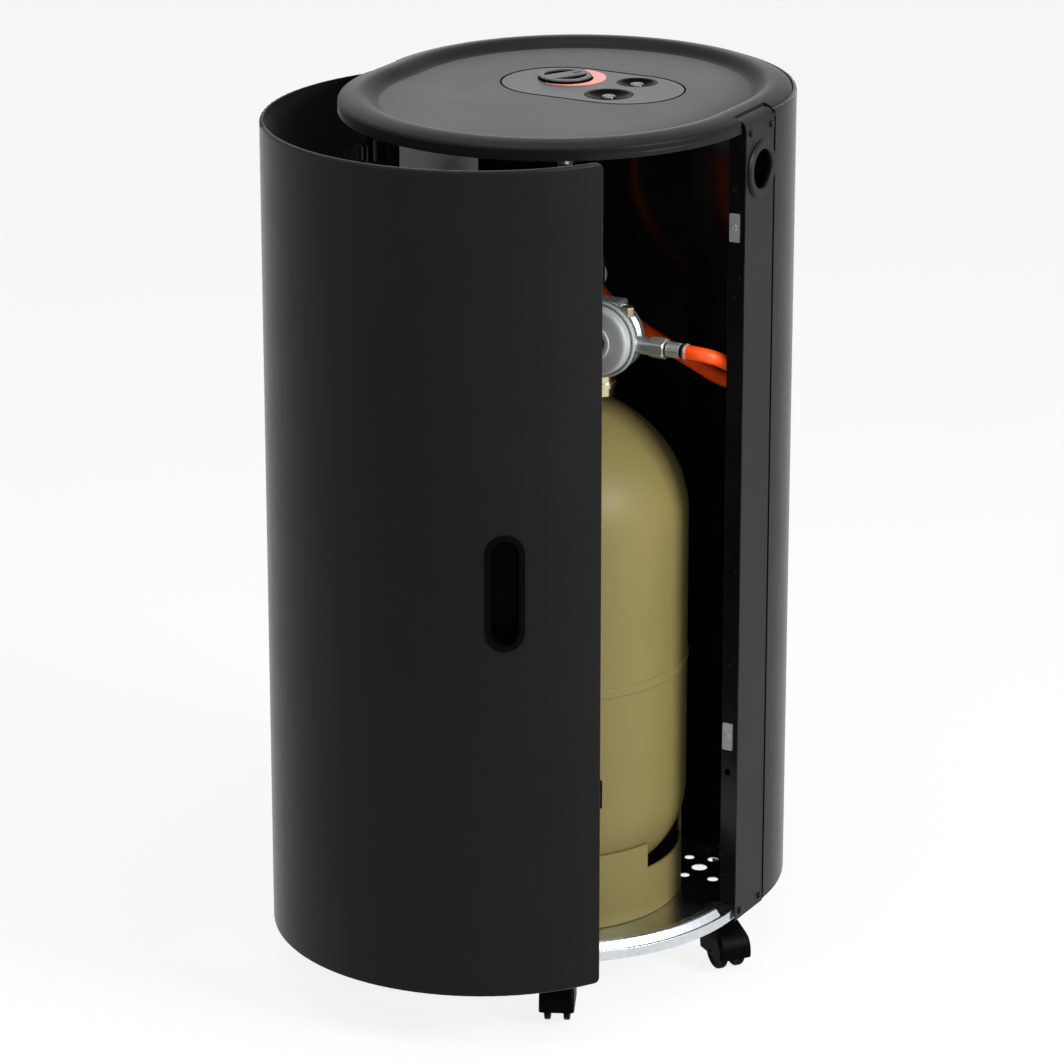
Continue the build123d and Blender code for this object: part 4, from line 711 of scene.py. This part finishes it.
for step in range(gasket_steps):
    turn = math.tau * (step + 0.5) / gasket_steps
    end_middle = panel_middle + Vector((math.copysign(panel_spread, math.cos(turn)), 0, 0))
    gasket_stations.append([polar(end_middle, radius, turn, height) for radius, height in gasket_section])
swept_section(gasket, gasket_stations, True)
ring_middle = Vector((knob_middle.x, knob_middle.y, panel_middle.z))
swept_section(gasket, [[polar(ring_middle, radius, math.tau * step / ring_steps, height)
                        for radius, height in ring_section] for step in range(ring_steps)], True)
piece_from("panel_gaskets", finished_mesh("panel_gaskets", gasket, shade_and_gasket_black), "cabinet")
gloss_black = finish("gloss_black_dish", (0.0008, 0.0008, 0.0008), 0.12, 0.002, 0.00001, mottle=0.2,
                     edge_marks=(0.0004, 0.2), edge_colour=(0.01, 0.01, 0.01, 1), Specular_IOR_Level=0.012)
dress(gloss_black, "igniter_dish", "cutoff_dish")
button_metal = finish("polished_button", (0.11, 0.11, 0.115), 0.2, 0.002, 0.00001, mottle=0.1,
                      edge_marks=(0.0004, 0.5), edge_colour=(0.7, 0.7, 0.7, 1), Metallic=1.0)
dress(button_metal, "igniter_button", "cutoff_button")
scale_red = finish("red_scale_print", (0.9, 0.27, 0.24), 0.45, 0.001, 0.00002, mottle=0.1, specks=0.1)
dress(scale_red, "heat_scale")

# ---- Gas valve and burner pipe
# A die-cast valve hangs under the panel. Its brass spindle carries the knob, and a bent brass pipe
# leads from it to the burner.
cast_zinc = finish("blasted_casting", (0.50, 0.54, 0.56), 0.34, 0.0007, 0.0001, mottle=0.1, spread=0.12,
                   edge_marks=(0.0008, 0.6), edge_colour=(0.85, 0.87, 0.88, 1), Metallic=0.85)
brass = finish("plain_brass", (0.68, 0.58, 0.36), 0.3, 0.001, 0.00003, mottle=0.15, spread=0.1,
               edge_marks=(0.0004, 0.5), edge_colour=(0.85, 0.75, 0.5, 1), Metallic=1.0)
dress(cast_zinc, "gas_valve")
dress(zinc, "spindle_collar")
dress(brass, "control_spindle", "burner_pipe")

# ---- Gas bottle
# Two deep-drawn steel heads joined by a weld round the middle, with a foot ring below, all in satin
# olive enamel that is rubbed on the weld.
bottle_paint = finish("olive_bottle_enamel", (0.19, 0.157, 0.056), 0.42, 0.004, 0.00012, mottle=0.06,
                      specks=0.05, edge_marks=(0.0012, 0.2), edge_colour=(0.3, 0.27, 0.17, 1), Specular_IOR_Level=0.15)
dress(bottle_paint, "bottle_body", "bottle_foot_ring")

# ---- Bottle valve, handwheel and union nut
# A forged brass valve screws into the bottle's neck, with a lobed plastic handwheel on its stem. A
# knurled union nut draws the regulator on to its side outlet.
wheel_grey = finish("handwheel_moulding", (0.045, 0.045, 0.05), 0.5, 0.001, 0.00005, mottle=0.1,
                    edge_marks=(0.0008, 0.2), edge_colour=(0.12, 0.12, 0.12, 1))
dress(brass, "bottle_valve")
dress(wheel_grey, "valve_handwheel")
plated = finish("dull_nickel_plate", (0.62, 0.615, 0.585), 0.45, 0.0007, 0.00012, mottle=0.12, spread=0.1,
                edge_marks=(0.0005, 0.6), edge_colour=(0.85, 0.84, 0.8, 1), Metallic=1.0)
dress(plated, "union_nut")

# ---- Regulator
# A blasted zinc casting with a domed round cover and a rubber vent in its middle. A hexagon nut
# joins its outlet to the hose, and fluted steel sleeves with black seals are crimped on the hose.
dress(cast_zinc, "regulator_body")
regulator_middle = (-0.063, 0.035, 0.647)
cover_smooth_angle = 28
cover_section = [(0, 0.0090), (0.0376, 0.0090), (0.0380, 0.0094), (0.0380, 0.0121), (0.0376, 0.0125),
                 (0.0359, 0.0125), (0.0357, 0.0100), (0.0346, 0.0100), (0.0344, 0.0125), (0.0344, 0.0185),
                 (0.0338, 0.0207), (0.0325, 0.0219), (0.0305, 0.0225), (0.0240, 0.0232), (0.0186, 0.0236),
                 (0.0172, 0.0239), (0.0163, 0.0247), (0.0148, 0.0250), (0.0126, 0.0249), (0.0114, 0.0241),
                 (0.0110, 0.0228), (0.0110, 0.0130), (0, 0.0130)]
cover_satin = finish("satin_cast_cover", (0.46, 0.49, 0.485), 0.42, 0.0008, 0.00014, mottle=0.1, spread=0.1,
                     edge_marks=(0.0006, 0.5), edge_colour=(0.8, 0.82, 0.82, 1), Metallic=0.3)
cover = bmesh.new()
turned_shape(cover, cover_section, regulator_middle, (0, 1, 0), 96)
piece_from("regulator_dished_cover",
           finished_mesh("regulator_dished_cover", cover, cover_satin, cover_smooth_angle),
           "cabinet", ["regulator_cover"])
rubber_black = finish("black_seal_rubber", (0.0025, 0.0025, 0.0025), 0.5, 0.0009, 0.00006, mottle=0.2,
                      edge_marks=(0.0004, 0.1), edge_colour=(0.02, 0.02, 0.02, 1), Specular_IOR_Level=0.15)
vent_section = [(0, 0.0132), (0.0108, 0.0132), (0.0108, 0.0142), (0.0080, 0.0150), (0.0030, 0.0150),
                (0.0024, 0.0140), (0, 0.0138)]
sleeve_starts = (((-0.130, 0.035, 0.644), (-1, 0, 0)), ((0.031, -0.056, 0.7889), (0, 0, -1)))
seal_bands = ((0.00005, 0.0019), (0.0161, 0.0204))
seal_radii = (0.0064, 0.0068)
seal_round = 0.0003
seals = bmesh.new()
turned_shape(seals, vent_section, regulator_middle, (0, 1, 0), 48)
for start, way in sleeve_starts:
    for low, high in seal_bands:
        turned_shape(seals, [(0, low), (seal_radii[0], low), (seal_radii[1], low + seal_round),
                             (seal_radii[1], high - seal_round), (seal_radii[0], high), (0, high)],
                     start, way, 32)
piece_from("vent_and_sleeve_seals", finished_mesh("vent_and_sleeve_seals", seals, rubber_black),
           "cabinet")
dress(brass, "regulator_brass")
dress(plated, "outlet_nut", "hose_ferrules")

# ---- Door fittings
# Hinge leaves are welded to the door and the right upright and joined by zinc pins. A moulded pocket
# handle snaps into the door, whose magnets meet zinc-plated catches screwed to the left upright.
handle_black = finish("moulded_handle_black", (0.0015, 0.0015, 0.0016), 0.5, 0.0009, 0.00005, mottle=0.2,
                      edge_marks=(0.0006, 0.1), edge_colour=(0.012, 0.012, 0.012, 1), Specular_IOR_Level=0.02)
dress(inner_black, "frame_hinge_leaves", "door_hinge_leaves")
dress(zinc, "hinge_pins")
dress(handle_black, "door_handle", "door_magnets")
catch_zinc = finish("catch_plating", (0.5, 0.54, 0.57), 0.42, 0.0012, 0.00004, mottle=0.15, spread=0.1,
                    edge_marks=(0.0005, 0.6), edge_colour=(0.85, 0.86, 0.88, 1), Metallic=0.6)
dress(catch_zinc, "catch_plates", "catch_screws")

# ---- Studio
# A plain pale floor before a white background, under three soft lamps: a strong one on the right, a
# weak one on the left and a wide one overhead.
floor_half = 6.0
floor_glow = 0.85
background_light = 0.45
lamp_target = Vector((0, 0.05, 0.45))
floor_mesh = bpy.data.meshes.new("studio_floor")
floor_mesh.from_pydata([(-floor_half, -floor_half, 0), (floor_half, -floor_half, 0),
                        (floor_half, floor_half, 0), (-floor_half, floor_half, 0)], [], [(0, 1, 2, 3)])
floor_paint = bpy.data.materials.new("pale_floor")
floor_paint.use_nodes = True
tree = floor_paint.node_tree
shader = tree.nodes["Principled BSDF"]
shader.inputs["Base Color"].default_value = (0.85, 0.85, 0.85, 1)
shader.inputs["Roughness"].default_value = 0.9
shader.inputs["Specular IOR Level"].default_value = 0.0


def background_share(tree, share):
    """Share of the white background that camera, glossy and transmission rays see."""
    path = tree.nodes.new("ShaderNodeLightPath")
    direct = maths(tree, "MAXIMUM", path.outputs["Is Glossy Ray"], path.outputs["Is Transmission Ray"])
    seen = maths(tree, "MAXIMUM", direct, path.outputs["Is Camera Ray"])
    return maths(tree, "MULTIPLY", seen, share)


glow = tree.nodes.new("ShaderNodeEmission")
mix = tree.nodes.new("ShaderNodeMixShader")
tree.links.new(background_share(tree, floor_glow), mix.inputs[0])
tree.links.new(shader.outputs[0], mix.inputs[1])
tree.links.new(glow.outputs[0], mix.inputs[2])
tree.links.new(mix.outputs[0], tree.nodes["Material Output"].inputs["Surface"])
floor_mesh.materials.append(floor_paint)
piece_from("studio_floor", floor_mesh)

world = bpy.data.worlds.new("studio")
bpy.context.scene.world = world
world.use_nodes = True
tree = world.node_tree
tree.nodes["Background"].inputs["Color"].default_value = (1, 1, 1, 1)
level = ranged(tree, background_share(tree, 1.0), 0.0, 1.0, background_light, 1.0)
tree.links.new(level, tree.nodes["Background"].inputs["Strength"])


def soft_lamp(name, turn, rise, distance, size, power):
    """A square lamp that looks at the cabinet from a turn and rise in degrees."""
    data = bpy.data.lights.new(name, "AREA")
    data.shape = "SQUARE"
    data.size = size
    data.energy = power
    lamp = bpy.data.objects.new(name, data)
    across, up = math.radians(turn), math.radians(rise)
    way = Vector((math.sin(across) * math.cos(up), -math.cos(across) * math.cos(up), math.sin(up)))
    lamp.location = lamp_target + way * distance
    lamp.rotation_euler = (-way).to_track_quat("-Z", "Y").to_euler()
    bpy.context.scene.collection.objects.link(lamp)


soft_lamp("right_lamp", turn=265, rise=25, distance=3.0, size=1.0, power=85)
soft_lamp("left_lamp", turn=145, rise=25, distance=3.2, size=2.0, power=11)
soft_lamp("top_lamp", turn=200, rise=80, distance=2.5, size=2.0, power=40)
